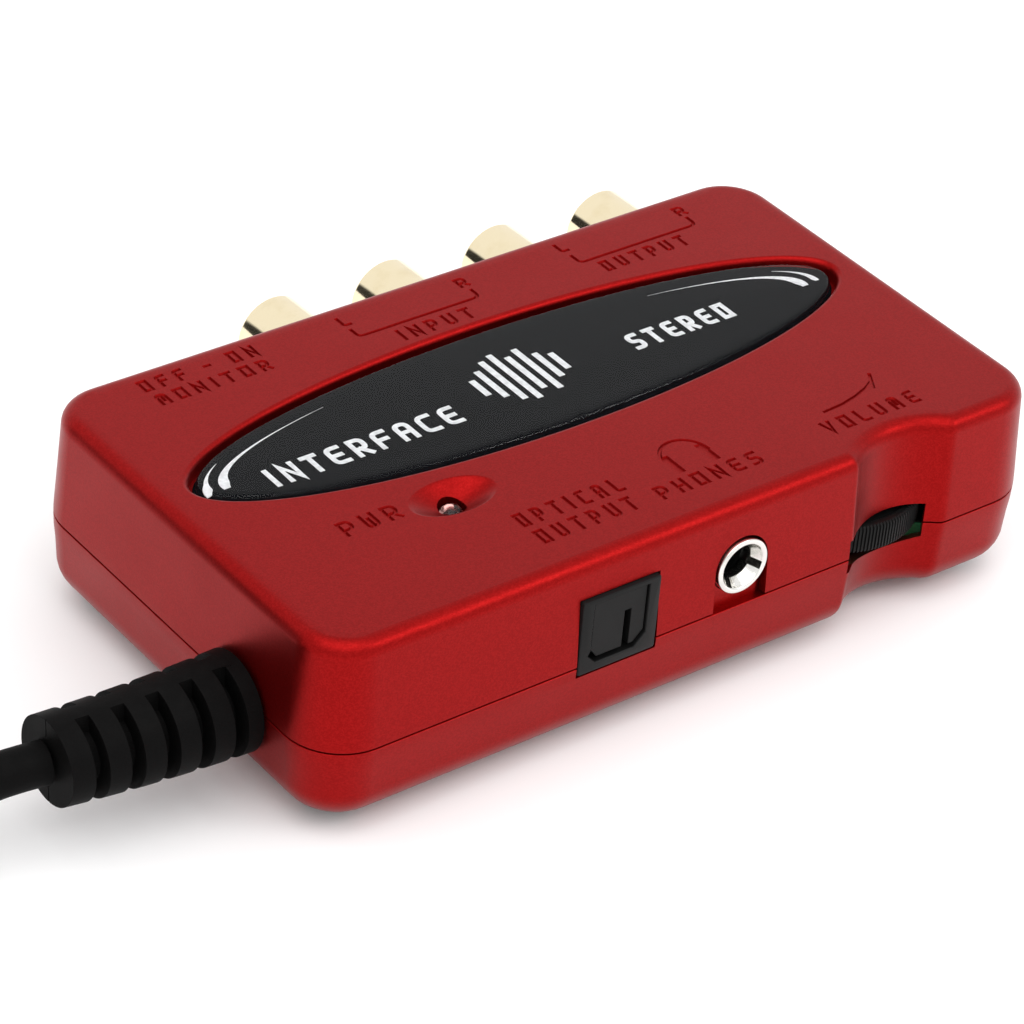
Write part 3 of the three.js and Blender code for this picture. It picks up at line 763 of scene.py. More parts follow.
def label_tools():
    """The sunk words and signs on the top face."""
    depth = bpy.context.scene.audio_case.label_depth / MM
    low, high = TOP - depth, TOP + 0.12
    wide, narrow = 0.64, 0.22
    tools = []
    words = (
        ("PWR", -31.2, -24.5, -14.7, -12.2), ("OPTICAL", -16.2, -3.8, -21.9, -19.5),
        ("OUTPUT", -16.1, -4.5, -25.0, -22.6), ("PHONES", -2.0, 10.7, -25.1, -22.8),
        ("VOLUME", 19.1, 31.1, -24.8, -22.5), ("OFF - ON", -34.2, -20.6, 15.0, 17.2),
        ("MONITOR", -34.0, -20.8, 12.3, 14.4), ("INPUT", -7.0, 2.1, 9.9, 12.1),
        ("OUTPUT", 18.7, 29.8, 10.0, 12.2),
        ("L", -10.9, -9.6, 15.0, 16.9), ("R", 3.6, 5.1, 15.0, 16.9), ("L", 16.7, 18.0, 15.3, 17.2),
        ("R", 32.0, 33.5, 14.9, 16.8),
    )
    for word, x0, x1, y0, y1 in words:
        tools += lettering(word, x0, x1, y0, y1, wide - 0.08, narrow, low, high, 0.3)
    for left, right, y, top in ((-10.5, 4.4, 12.9, 14.3), (17.3, 32.6, 12.9, 14.4)):
        line = [(left, top), (left, y), (right, y), (right, top)]
        tools.append(stroke(eased(line, 1.1, 5), wide - 0.1, narrow, low, high))
    cx, cy = 4.6, -20.3
    band = [(cx + 2.6 * math.cos(a), cy + 2.7 * math.sin(a)) for a in np.linspace(0.0, math.pi, 17)]
    tools.append(stroke(band, wide - 0.1, narrow, low, high))
    for side in (-1, 1):
        tools.append(stroke([(cx + side * 2.15, cy - 1.5), (cx + side * 2.15, cy + 0.5)], 1.15, 0.8, low,
            high))
    ramp = [(21.2, -21.3), (23.6, -21.15), (25.8, -20.7), (27.6, -20.1), (28.9, -19.4)]
    tools.append(stroke(ramp, wide - 0.15, narrow, low, high))
    tools.append(stroke([(28.3, -20.4), (29.5, -18.4)], wide - 0.1, narrow, low, high))
    return tools


class AUDIO_OT_upper_shell(Operator):
    """Top shell with its badge recess, lamp dish, wall openings and sunk labels"""
    bl_idname = "audio_interface.upper_shell"
    bl_label = "Upper Shell"

    def execute(self, context):
        rim = SPLIT + SHELL_GAP
        roof = TOP - 1.8
        profile = rounded_edge(TOP, 1, UPPER_DRAFT, UPPER_FILLET)
        profile += [(16.5, 0.38), (rim + 1.2, 0.06), (rim + 0.05, 0.0), (rim, 0.05), (rim, 0.95),
            (11.7, 0.95),
                    (11.7, WALL), (roof - 1, WALL + 0.3), (roof, WALL + 1.2)]
        shell = squared_off(loft([case_ring(z, inset) for z, inset in reversed(profile)]), TOP, 3.1)
        badge_under = loft([ring_of(ellipse(BADGE_X, BADGE_Y, BADGE_RX + 1.6, BADGE_RY + 1.6),
            z) for z in (18.4, 20.7)])
        dish_under = loft([ring_of(ellipse(DISH_X, DISH_Y, DISH_RX + 1.2, DISH_RY + 1.2), z) for z in (18.6,
            20.7)])
        posts = [bar("z", 2.9, SPLIT + 0.55, roof + 0.5, x, y) for x, y in POSTS]
        shell = combine(shell, [badge_under, dish_under, *posts], "UNION")

        soft = 0.62
        lip = [(BADGE_FLOOR, 0.0), (TOP - soft, 0.0)]
        lip += [(TOP - soft * (1 - math.sin(a)), soft * (1 - math.cos(a))) for a in np.linspace(0.2, 1.45,
            7)]
        lip += [(TOP, soft), (TOP + 0.5, soft + 0.1)]
        recess = loft([ring_of(ellipse(BADGE_X, BADGE_Y, BADGE_RX + out, BADGE_RY + out, 120), z) for z,
            out in lip])
        bowl = [(DISH_FLOOR + 1.6 * (1 - math.cos(s * math.pi / 2)) ** 0.9, s) for s in np.linspace(0.25,
            0.93, 9)]
        bowl += [(TOP - 0.06, 0.985), (TOP, 1.03), (TOP + 0.4, 1.25)]
        dish = loft([ring_of(ellipse(DISH_X, DISH_Y, DISH_RX * s, DISH_RY * s, 64), z) for z, s in bowl])
        notch = 3.25
        tools = wall_tools() + [
            recess, dish, bar("z", 1.42, 17, DISH_FLOOR + 1.5, DISH_X, DISH_Y),
            bar("z", 2.0, 17, DISH_FLOOR - 1.2, DISH_X, DISH_Y),
            plain_box(PHONES_X - notch, PHONES_X + notch, FRONT - 1, -27.5, SPLIT - 1, PHONES_Z),
            bar("y", notch, FRONT - 1, -27.5, PHONES_X, PHONES_Z, 56),
            plain_box(-28.7, -23.3, 17, BACK + 1, 12.6, 15.2),
            *[bar("z", 1.35, SPLIT, 18.5, x, y, 20) for x, y in POSTS],
        ]
        shell = combine(shell, tools)
        shell = combine(shell, label_tools())
        make_piece("top_shell", shell, "case", "red_paint", "upper_shell", sharp=30, even=True)
        return {"FINISHED"}


class AUDIO_OT_lower_shell(Operator):
    """Bottom shell with its lip, tab under the phones socket, posts, and recesses for screws and feet"""
    bl_idname = "audio_interface.lower_shell"
    bl_label = "Lower Shell"

    def execute(self, context):
        rim = SPLIT - SHELL_GAP
        floor = BOTTOM + 1.8
        profile = rounded_edge(BOTTOM, -1, LOWER_DRAFT, LOWER_FILLET, 12)
        profile += [(7.5, 0.2), (rim - 1.2, 0.04), (rim - 0.05, 0.0), (rim, 0.05), (rim, 1.15),
            (11.5, 1.15), (11.5, 1.7),
                    (10.0, 1.7), (9.8, WALL), (floor + 1.2, WALL + 0.1), (floor, WALL + 1.3)]
        shell = loft([case_ring(z, inset) for z, inset in profile])
        notch = 2.95
        tab = plain_box(PHONES_X - notch + 0.1, PHONES_X + notch - 0.25, FRONT + 0.85, -28.0, rim - 1,
            PHONES_Z)
        posts = [bar("z", 2.9, floor - 0.5, SPLIT + 0.25, x, y) for x, y in POSTS]
        stands = [(-32, 7.5), (32, 2.5), (-32, -24), (12, -24)]
        studs = [bar("z", 2.2, floor - 0.5, 6.9, x, y) for x, y in stands]
        shell = combine(shell, [tab, *posts, *studs], "UNION")
        tools = wall_tools() + [bar("y", 3.12, FRONT - 1, -27.5, PHONES_X, PHONES_Z, 56)]
        for x, y in POSTS:
            tools += [bar("z", 1.5, 0, 12, x, y, 24), bar("z", 2.75, 0, 4.4, x, y)]
        tools += [bar("z", 1.1, 4, 7.2, x, y, 20) for x, y in stands]
        tools += [bar("z", 4.25, 0, BOTTOM + 0.5, x, y, 48) for x, y in FEET]
        shell = combine(shell, tools)
        make_piece("bottom_shell", shell, "case", "red_paint", "lower_shell", sharp=30, even=True)
        return {"FINISHED"}


# ---- Badge and status lamp ----
def badge_print():
    """Raised ink on the badge: two generic words, level bars in the middle and crescents at both ends."""
    low, high = 20.6, 20.65
    width = bpy.context.scene.audio_badge.print_width / MM
    tools = lettering("INTERFACE", -31.4, -9.2, -3.5, -0.5, width, width, low, high, 0.27)
    tools += lettering("STEREO", 13.2, 26.0, -2.1, 0.7, width, width, low, high, 0.27)
    levels = (0.28, 0.55, 0.85, 1.0, 0.7, 0.9, 0.5, 0.3)
    for i, share in enumerate(levels):
        x, half = BADGE_X - 4.9 + i * 1.4, 4.0 * share
        tools.append(stroke([(x, BADGE_Y + 1.2 - half), (x, BADGE_Y + 1.2 + half)], 0.7, 0.7, low, high))
    for side in (-1, 1):
        for inset, thick, first, last in ((1.75, 0.36, -0.03, 0.42), (3.3, 0.62, -0.06, 0.98)):
            a = np.linspace(first, last, 33)
            share = (a - first) / (last - first)
            grown = thick * (1 - share) ** 0.9 * np.minimum(1.0, 0.55 + share * 4) + 0.02
            outer = [(BADGE_X + side * (BADGE_RX - inset) * math.cos(t),
                BADGE_Y + (BADGE_RY - inset * 0.62) * math.sin(t)) for t in a]
            inner = [(x - side * g * (0.45 + 1.6 * math.cos(t)), y - 0.25 * g * math.sin(t)) for (x, y), g,
                t in zip(outer, grown, a)]
            tools.append(loft([ring_of(outer + inner[::-1], z) for z in (low, high)]))
    return combine(tools[0], tools[1:], "UNION")


class AUDIO_OT_badge(Operator):
    """Oval badge: its black plate, the raised print and the clear window over them"""
    bl_idname = "audio_interface.badge"
    bl_label = "Badge"

    def execute(self, context):
        def oval(inset, z):
            return ring_of(ellipse(BADGE_X, BADGE_Y, BADGE_RX - inset, BADGE_RY - inset, 120), z)

        plate = loft([oval(0.6, 20.25), oval(0.5, 20.3), oval(0.5, 20.55), oval(0.55, 20.6)])
        make_piece("badge_disc", plate, "case", "black_badge", "badge_plate")
        make_piece("badge_print", badge_print(), "case", "white_plastic")
        edge = context.scene.audio_badge.window_edge / MM
        side, rim = 0.8, 21.8
        rings = [oval(side, 20.45), oval(side, rim - edge)]
        for a in np.linspace(0.2, math.pi / 2, 8):
            rings.append(oval(side + edge * (1 - math.cos(a)), rim - edge * (1 - math.sin(a))))
        for share in np.linspace(0.1, 0.9, 9):
            inset = side + edge + share * (BADGE_RY - side - edge)
            rings.append(oval(inset, rim + 0.07 * math.sin(share * math.pi / 2)))
        make_piece("badge_window", loft(rings), "case", "clear_lens", "badge_lens", sharp=30)
        return {"FINISHED"}


class AUDIO_OT_status_lamp(Operator):
    """Domed status lamp in its dish, on a light guide"""
    bl_idname = "audio_interface.status_lamp"
    bl_label = "Status Lamp"

    def execute(self, context):
        low, high = node_box("status_lamp")
        base, tip = low[2], high[2] + 0.45
        profile = [(1.85, base), (1.9, base + 0.1), (1.9, base + 0.75), (1.2, base + 0.85),
            (1.2, tip - 1.1)]
        profile += [(1.2 * math.cos(a), tip - 1.1 + 1.1 * math.sin(a)) for a in np.linspace(0.12, 1.5, 12)]
        lens = turn_to(turned(profile, 40), "z", (DISH_X, DISH_Y, 0))
        make_piece("lamp_dome", lens, "case", "blue_lamp", "status_lamp", sharp=50)
        anode = block(DISH_X - 0.9, DISH_X - 0.2, DISH_Y - 0.35, DISH_Y + 0.35, base + 0.2, base + 2.1,
            0.05, 0.1)
        cup = block(DISH_X + 0.1, DISH_X + 1.0, DISH_Y - 0.5, DISH_Y + 0.5, base + 0.2, base + 1.9, 0.08,
            0.2)
        make_piece("lamp_frames", merged(anode, cup), "case", "nickel")
        low, high = node_box("lamp_spacer")
        tube = turned([(2.4, low[2]), (2.4, high[2] - 0.2), (2.25, high[2]), (1.0, high[2]), (1.0, low[2])],
            40, True)
        make_piece("lamp_stand", turn_to(tube, "z", (DISH_X, DISH_Y, 0)), "case", "white_plastic",
            "lamp_spacer")
        return {"FINISHED"}


# ---- Front sockets and wheel ----
class AUDIO_OT_optical_output(Operator):
    """Square optical output with its sprung shutter"""
    bl_idname = "audio_interface.optical_output"
    bl_label = "Optical Output"

    def execute(self, context):
        low, high = node_box("optical_housing")
        cx, cz = (low[0] + high[0]) / 2, (low[2] + high[2]) / 2
        hx, hz = (high[0] - low[0]) / 2, (high[2] - low[2]) / 2

        def square(inset, depth):
            return [(x, z, depth) for x, z in rounded_rect(cx, cz, hx - inset, hz - inset,
                0.35 - min(inset, 0.2), 4)]

        rings = [square(0.18, FRONT), square(0.05, FRONT + 0.06), square(0, FRONT + 0.2),
            square(0, high[1])]
        body = turn_to(loft(rings), "y")
        x0, x1, z0, z1 = -13.5, -6.95, 10.3, 17.25

        def inside(grow, y):
            return [(x0 - grow, z0 + 1.5, y), (x0 - grow - 0.3, z0 + 1.0, y), (x0 + 0.7, z0 - grow, y),
                (x1 - 1.3, z0 - grow, y),
                    (x1 + grow, z0 + 1.3, y), (x1 + grow, z1, y), (x0 - grow, z1, y)]

        mouth = turn_to(loft([inside(0.08, FRONT - 0.5), inside(0.08, FRONT), inside(0.0, FRONT + 0.08),
            inside(0, high[1] + 1)]), "y")
        pivot = bar("x", 0.65, low[0] + 0.5, high[0] - 0.5, -28.9, 16.1, 24)
        body = combine(body, [mouth, pivot])
        make_piece("optical_frame", body, "case", "black_plastic", "optical_housing")

        low, high = node_box("optical_shutter")
        hinge_y, hinge_z, left, right = -28.9, 16.1, -13.36, -7.12
        foot = low[2] - 0.02
        outline = [(left, 17.05), (left, foot + 1.0), (left + 0.75, foot), (right - 1.15, foot),
            (right, foot + 1.15), (right, 17.05)]
        face, back = FRONT + 0.22, hinge_y + 0.05
        panel = turn_to(loft([[(x, z, y) for x, z in outline] for y in (face, back)]), "y")
        shutter = combine(panel, [bar("x", 0.85, left, right, hinge_y, hinge_z, 32)], "UNION")
        slot = plain_box(-9.6, -8.8, -32, -28.3, foot - 1, 14.95)
        shutter = combine(shutter, [slot, bar("x", 0.55, -15, -5, hinge_y, hinge_z, 20)])
        make_piece("shutter_door", shutter, "shutter", "black_plastic", "optical_shutter", bevel=0.07)
        for name, slot_name in (("shutter_pin", "steel"), ("optical_emitter", "black_plastic")):
            dress_node(name, slot_name)
        return {"FINISHED"}


class AUDIO_OT_phones_socket(Operator):
    """Phones socket: its plated ring, moulded body and contact"""
    bl_idname = "audio_interface.phones_socket"
    bl_label = "Phones Socket"

    def execute(self, context):
        low, high = node_box("phones_ring")
        back, radius = high[1], (high[0] - low[0]) / 2
        profile = eased([(1.8, back), (radius, back), (radius, FRONT), (2.5, FRONT), (2.35, FRONT + 0.35),
                         (1.8, FRONT + 1.2), (1.8, back - 0.01)], [0, 0.05, 0.22, 0.16, 0.1, 0.1, 0], 4)
        ring = turn_to(turned([(r, y) for r, y in profile], 72, True), "y", (PHONES_X, 0, PHONES_Z))
        gaps = []
        for angle in (-18, 102, 236):
            a = math.radians(angle)
            gap = plain_box(1.2, 2.52, -0.42, 0.42, FRONT - 0.3 + 0.42, back + 1)
            spun = [(x * math.cos(a) - y * math.sin(a), x * math.sin(a) + y * math.cos(a), z) for x, y,
                z in gap[0]]
            gaps.append(turn_to((spun, gap[1]), "y", (PHONES_X, 0, PHONES_Z)))
        make_piece("phones_bushing", combine(ring, gaps), "case", "nickel", "phones_ring", sharp=40)
        dress_node("phones_body", "black_plastic")
        dress_node("phones_contact", "nickel")
        return {"FINISHED"}


class AUDIO_OT_volume_wheel(Operator):
    """Finely ribbed volume wheel on its control, with black sheets in its slot as painted shade"""
    bl_idname = "audio_interface.volume_wheel"
    bl_label = "Volume Wheel"

    def execute(self, context):
        settings = context.scene.audio_controls
        low, high = node_box("volume_wheel")
        ribs, depth = settings.wheel_ribs, settings.rib_depth / MM
        angles, reach = [], []
        for i in range(ribs):
            for part, down in ((0.0, 0), (0.42, 0), (0.58, 1), (0.84, 1)):
                angles.append(2 * math.pi * (i + part) / ribs)
                reach.append(down * depth)

        def rim(inset, z):
            return [((WHEEL_R - d - inset) * math.cos(a), (WHEEL_R - d - inset) * math.sin(a), z) for a,
                d in zip(angles, reach)]

        def level(r, z):
            return [(r * math.cos(a), r * math.sin(a), z) for a in angles]

        z0, z1 = low[2], high[2]
        rings = [level(8.6, z0), rim(0.3, z0), rim(0.08, z0 + 0.12), rim(0, z0 + 0.35), rim(0, z1 - 0.35),
            rim(0.08, z1 - 0.12),
                 rim(0.3, z1), level(8.6, z1), level(8.3, z1 - 0.25), level(3.2, z1 - 0.25), level(3.0, z1),
                 level(1.3, z1),
                 level(1.3, 11.3), level(5.2, 11.3), level(5.2, z0)]
        wheel = turn_to(loft(rings, True), "z", (WHEEL_X, WHEEL_Y, 0))
        make_piece("wheel_disc", wheel, "volume", "black_plastic", "volume_wheel", sharp=28)
        # Black plastic sheets in the wheel's slot are painted shade: a curved band behind the wall, a flat
        # sheet over the board and a skirt over the board's green edge stand in for the dark inside of the
        # slot
        shade_liner = []
        for r in (10.5, 10.9):
            shade_liner.append([(WHEEL_X + r * math.cos(a), WHEEL_Y + r * math.sin(a)) for a in np.linspace(-1.0,
                0.35, 25)])
        outline = shade_liner[1] + shade_liner[0][::-1]
        shade_skirt = []
        for r in (SCALLOP_R + 2.25, SCALLOP_R + 2.45):
            shade_skirt.append([(SCALLOP_X + r * math.cos(a),
                SCALLOP_Y + r * math.sin(a)) for a in np.linspace(0.98, 2.2, 25)])
        shade_skirt = loft([ring_of(shade_skirt[1] + shade_skirt[0][::-1], z) for z in (7.3, 9.0)])
        shade_sheet = combine(plain_box(16.5, 35.0, -27.3, -17.5, 8.83, 9.0),
            [bar("z", SCALLOP_R + 2.3, 8, 10, SCALLOP_X, SCALLOP_Y, 64)])
        shade_liner = combine(loft([ring_of(outline, z) for z in (8.85, 14.5)]), [shade_sheet, shade_skirt], "UNION")
        make_piece("wheel_slot_painted_shade", shade_liner, "case", "black_plastic")
        low, high = node_box("wheel_rivet")
        head = turned([(1.0, low[2]), (1.0, 12.4), (2.0, 12.4), (2.1, 12.5), (2.0, 12.95), (1.6, high[2]),
            (0.5, high[2]), (0.35, high[2] - 0.2)], 40)
        make_piece("rivet_head", turn_to(head, "z", (WHEEL_X, WHEEL_Y, 0)), "volume", "steel",
            "wheel_rivet")
        low, high = node_box("volume_control")
        can = turned(eased([(4.7, low[2]), (4.7, high[2]), (4.0, high[2]), (3.9, high[2] - 0.2)], 0.25), 48)
        make_piece("control_can", turn_to(can, "z", (WHEEL_X, WHEEL_Y, 0)), "case", "white_plastic",
            "volume_control")
        return {"FINISHED"}


# ---- Rear controls and sockets ----
class AUDIO_OT_monitor_switch(Operator):
    """Slide switch for the monitor with its ribbed lever"""
    bl_idname = "audio_interface.monitor_switch"
    bl_label = "Monitor Switch"

    def execute(self, context):
        low, high = node_box("monitor_switch_lever")
        lever = turn_to(block(low[0], high[0], low[2], high[2], low[1], high[1], 0.18, 0.25), "y")
        grooves = [plain_box(low[0] + 0.4 + i * 0.6, low[0] + 0.7 + i * 0.6, high[1] - 0.25, high[1] + 1,
            low[2] - 1, high[2] + 1)
                   for i in range(3)]
        make_piece("switch_lever", combine(lever, grooves), "monitor_lever", "black_plastic",
            "monitor_switch_lever")
        dress_node("monitor_switch_body", "steel")
        return {"FINISHED"}


class AUDIO_OT_phono_sockets(Operator):
    """Four phono sockets in two moulded blocks: gold barrels, coloured insulators and centre contacts"""
    bl_idname = "audio_interface.phono_sockets"
    bl_label = "Phono Sockets"

    def execute(self, context):
        for name in SOCKET_NAMES:
            x, _, z = node_middle(name + "_barrel")
            low, high = node_box(name + "_barrel")
            start, end, r = low[1], high[1], (high[0] - low[0]) / 2
            barrel = eased([(3.55, start), (r, start), (r, 20.9), (r - 0.12, 21.0), (r - 0.12, 21.3),
                (r, 21.4), (r, end),
                            (3.55, end), (3.55, start + 0.01)],
                            [0, 0, 0.05, 0.05, 0.05, 0.05, 0.3, 0.12, 0], 4)
            shape = turn_to(turned(barrel, 72, True), "y", (x, 0, z))
            make_piece(name + "_sleeve", shape, "case", "gold", name + "_barrel", sharp=40)
            low, high = node_box(name + "_insulator")
            inner = eased([(1.75, low[1]), (3.25, low[1]), (3.25, high[1]), (2.3, high[1] - 0.35),
                (1.75, high[1] - 0.35),
                           (1.75, low[1] + 0.01)], [0, 0, 0.25, 0.15, 0.1, 0], 3)
            slot = "red_insulator" if name.endswith("right") else "white_plastic"
            make_piece(name + "_ring", turn_to(turned(inner, 56, True), "y", (x, 0, z)), "case", slot,
                name + "_insulator")
            low, high = node_box(name + "_contact")
            tube = eased([(0.9, low[1]), (1.45, low[1]), (1.45, high[1]), (0.9, high[1]),
                (0.9, low[1] + 0.01)],
                         [0, 0, 0.15, 0.15, 0], 3)
            tube = turn_to(turned(tube, 40, True), "y", (x, 0, z))
            slits = [plain_box(x - 0.13, x + 0.13, high[1] - 5, high[1] + 1, z - 2, z + 2),
                     plain_box(x - 2, x + 2, high[1] - 5, high[1] + 1, z - 0.13, z + 0.13)]
            make_piece(name + "_pin", combine(tube, slits), "case", "gold", name + "_contact")
        for pair in ("input", "output"):
            low, high = node_box(pair + "_block")
            body = turn_to(block(low[0], high[0], low[2], high[2], low[1], high[1], 0.25, 0.6), "y")
            ribs = [plain_box(low[0] + 4 + i * 5.2, low[0] + 7 + i * 5.2, low[1] + 1.2, high[1] - 2,
                high[2] - 0.6, high[2] + 1)
                    for i in range(4)]
            make_piece(pair + "_housing", combine(body, ribs), "case", "black_plastic", pair + "_block")
        return {"FINISHED"}


# ---- Inside: board and parts ----
class AUDIO_OT_circuit_board(Operator):
    """Main board and the parts that stand on it"""
    bl_idname = "audio_interface.circuit_board"
    bl_label = "Circuit Board"

    def execute(self, context):
        dress_node("main_board", "green_board")
        for chip, pins in (("codec_chip", 7), ("link_chip", 12), ("phones_amplifier", 4), ("regulator", 3)):
            low, high = node_box(chip)
            package = block(low[0], high[0], low[1], high[1], low[2], high[2], 0.12, 0.25)
            dot = bar("z", 0.35, high[2] - 0.12, high[2] + 1, low[0] + 1.0, high[1] - 1.0, 20)
            make_piece(chip + "_package", combine(package, [dot]), "case", "black_plastic", chip)
            legs, pitch = [], (high[0] - low[0] - 0.9) / max(pins - 1, 1)
            for i in range(pins):
                x = low[0] + 0.45 + i * pitch
                for side, y in ((-1, low[1]), (1, high[1])):
                    foot = [(y, low[2] + 0.6), (y + side * 0.45, low[2] + 0.6),
                        (y + side * 0.6, low[2] + 0.1),
                            (y + side * 1.0, low[2] + 0.1), (y + side * 1.0, low[2]),
                            (y + side * 0.5, low[2]),
                            (y + side * 0.35, low[2] + 0.45), (y, low[2] + 0.45)]
                    legs.append(loft([[(x + w, a, b) for a, b in foot] for w in (-0.14, 0.14)]))
            make_piece(chip + "_legs", merged(*legs), "case", "steel")
        for name in ("capacitor_1", "capacitor_2"):
            low, high = node_box(name)
            x, y, _ = node_middle(name)
            can = eased([(2.1, low[2]), (2.4, low[2] + 0.3), (2.4, low[2] + 0.9), (2.2, low[2] + 1.2),
                (2.4, low[2] + 1.5),
                         (2.4, high[2] - 0.05), (1.9, high[2] - 0.05), (1.8, high[2] - 0.3)], 0.15)
            make_piece(name + "_can", turn_to(turned(can, 40), "z", (x, y, 0)), "case", "capacitor_sleeve",
                name)
        for name in ("crystal", "board_screw_1", "board_screw_2"):
            dress_node(name, "steel")
        return {"FINISHED"}


class AUDIO_OT_screws_and_feet(Operator):
    """Case screws in their wells and four rubber feet under the case"""
    bl_idname = "audio_interface.screws_and_feet"
    bl_label = "Screws and Feet"

    def execute(self, context):
        for i, (x, y) in enumerate(POSTS, 1):
            low, high = node_box(f"case_screw_{i}")
            screw = turned(eased([(1.4, low[2]), (2.3, low[2] + 0.45), (2.3, 4.0), (1.05, 4.0),
                (1.05, 14.2), (0.2, high[2])], 0.1), 40)
            screw = turn_to(screw, "z", (x, y, 0))
            cross = [plain_box(x - 1.2, x + 1.2, y - 0.28, y + 0.28, low[2] - 1, low[2] + 0.75),
                     plain_box(x - 0.28, x + 0.28, y - 1.2, y + 1.2, low[2] - 1, low[2] + 0.75)]
            make_piece(f"cross_screw_{i}", combine(screw, cross), "case", "steel", f"case_screw_{i}")
        for i, (x, y) in enumerate(FEET, 1):
            low, high = node_box(f"foot_{i}")
            pad = eased([(2.6, 0.12), (2.9, 0.0), (3.9, 0.0), (4.0, high[2] + 0.25), (0.5, high[2] + 0.25)],
                [0, 0.1, 0.45, 0.1, 0], 5)
            make_piece(f"foot_pad_{i}", turn_to(turned(pad, 48), "z", (x, y, 0)), "case", "black_rubber",
                f"foot_{i}")
        return {"FINISHED"}


# ---- Strain relief, lead and plug ----
def pulled(mesh, start, length):
    """Bends the far end of the strain relief slightly back and up, as the lead pulls it."""
    made = []
    for x, y, z in mesh[0]:
        share = max(0.0, (start - x) / length) ** 2
        made.append((x, y + 1.0 * share, z + 0.2 * share))
    return made, mesh[1]


class AUDIO_OT_strain_relief(Operator):
    """Slotted rubber strain relief where the lead leaves the case"""
    bl_idname = "audio_interface.strain_relief"
    bl_label = "Strain Relief"

    def execute(self, context):
        length, base, tip, core, spine = 19.4, 5.1, 4.45, 2.8, 1.0
        start = -HALF_X - 0.3
        slope = (tip - base) / length
        profile = [(1.2, -4.4), (4.8, -4.4), (4.8, -2.9), (3.3, -2.9), (3.3, 0.0), (base, 0.0)]
        profile += [(base + slope * s, s) for s in np.linspace(1.0, length - 0.8, 12)]
        profile += [(tip, length), (2.3, length)]
        relief = turned(profile, 96)
        edge = math.acos(spine / core)
        inner = [(core * math.cos(a), core * math.sin(a)) for a in np.linspace(-edge, edge, 17)]
        half = [(spine, -9.0), (9.0, -9.0), (9.0, 9.0), (spine, 9.0)] + inner[::-1]
        tools = []
        for i in range(5):
            middle = 2.3 + 3.54 * i
            for side in (-1, 1):
                outline = [(side * x, y) for x, y in half]
                tools.append(loft([ring_of(outline, z) for z in (middle - 0.7, middle + 0.7)]))
        tools.append(plain_box(-0.06, 0.06, -9, -2.6, length - 0.12, length + 1))
        tools.append(plain_box(-0.06, 0.06, 2.6, 9, length - 0.12, length + 1))
        relief = combine(relief, tools)
        a = 0.08
        verts = [(start - z, x, y) for x, y, z in relief[0]]
        verts = [(x, RELIEF_Y + y * math.cos(a) + z * math.sin(a),
            RELIEF_Z - y * math.sin(a) + z * math.cos(a)) for x, y, z in verts]
        make_piece("slotted_boot", pulled((verts, relief[1]), start, length), "case", "black_rubber",
            "strain_relief",
                   sharp=40, bevel=0.16)
        dress_node("inner_lead", "black_rubber")
        dress_node("lead_connector", "white_plastic")
        return {"FINISHED"}


LEAD_ROUTE = [
    (-64, -15.2, 9.6), (-67, -14.85, 9.64), (-69.4, -14.6, 9.51), (-71.9, -14.45, 9.07),
    (-74.4, -14.35, 8.38),
    (-76.9, -14.3, 7.42), (-79.4, -14.25, 6.46), (-81.9, -14.2, 5.33), (-84.4, -14.2, 4.37),
    (-86.9, -14.2, 3.41),
    (-89.4, -14.2, 2.72), (-91.9, -14.2, 2.28), (-94.4, -14.2, 2.15), (-98.4, -14.2, 2.15),
    (-102.4, -14.2, 2.15),
    (-106.4, -14.2, 2.15), (-110.4, -14.2, 2.15), (-114.4, -14.2, 2.15),
]
COIL_X, COIL_Y = -116.0, 14.0
PLUG_X, PLUG_Y, PLUG_Z = -115.0, 36.0, 17.0


def smooth(t):
    t = min(max(t, 0.0), 1.0)
    return t * t * (3 - 2 * t)


def coil_route():
    """The lead's route: down to the table, 6 turns in three layers, then up into the plug."""
    layers, bottom, inner, outer = 4.3, 2.15, 19.7, 28.3
    spans = ((2.0, outer, inner, bottom, bottom), (0.25, inner, inner, bottom, bottom + layers),
             (2.0, inner, outer, bottom + layers, bottom + layers),
             (0.25, outer, outer, bottom + layers, bottom + 2 * layers),
             (1.764, outer, outer - 7.04, bottom + 2 * layers, bottom + 2 * layers))
    route, turn0 = [tuple(p) for p in LEAD_ROUTE], -95.0
    for turns, r0, r1, z0, z1 in spans:
        steps = max(4, round(turns * 20))
        for i in range(steps + (turns == 1.764)):
            t = i / steps
            angle = turn0 - 360 * turns * t
            r, z = r0 + (r1 - r0) * t, z0 + (z1 - z0) * smooth(t)
            away = ((angle + 180) % 360) - 180
            lift = 1.35 * math.cos(math.radians(min(abs(away) / 24, 1) * 90)) ** 2
            a = math.radians(angle)
            route.append((COIL_X + r * math.cos(a), COIL_Y + r * math.sin(a), z + lift))
        turn0 -= 360 * turns
    top, r_end = bottom + 2 * layers, outer - 7.04
    for i in range(1, 9):
        t = i / 8
        angle = 170 - 80 * t
        r = r_end - 0.45 * math.sin(math.pi * t) + (22.0 - r_end) * smooth(t)
        a = math.radians(angle)
        route.append((COIL_X + r * math.cos(a), COIL_Y + r * math.sin(a), top + (PLUG_Z - top) * smooth(t)))
    route += [(PLUG_X - 0.5 + 1.5 * i, PLUG_Y, PLUG_Z) for i in range(3)]
    return route


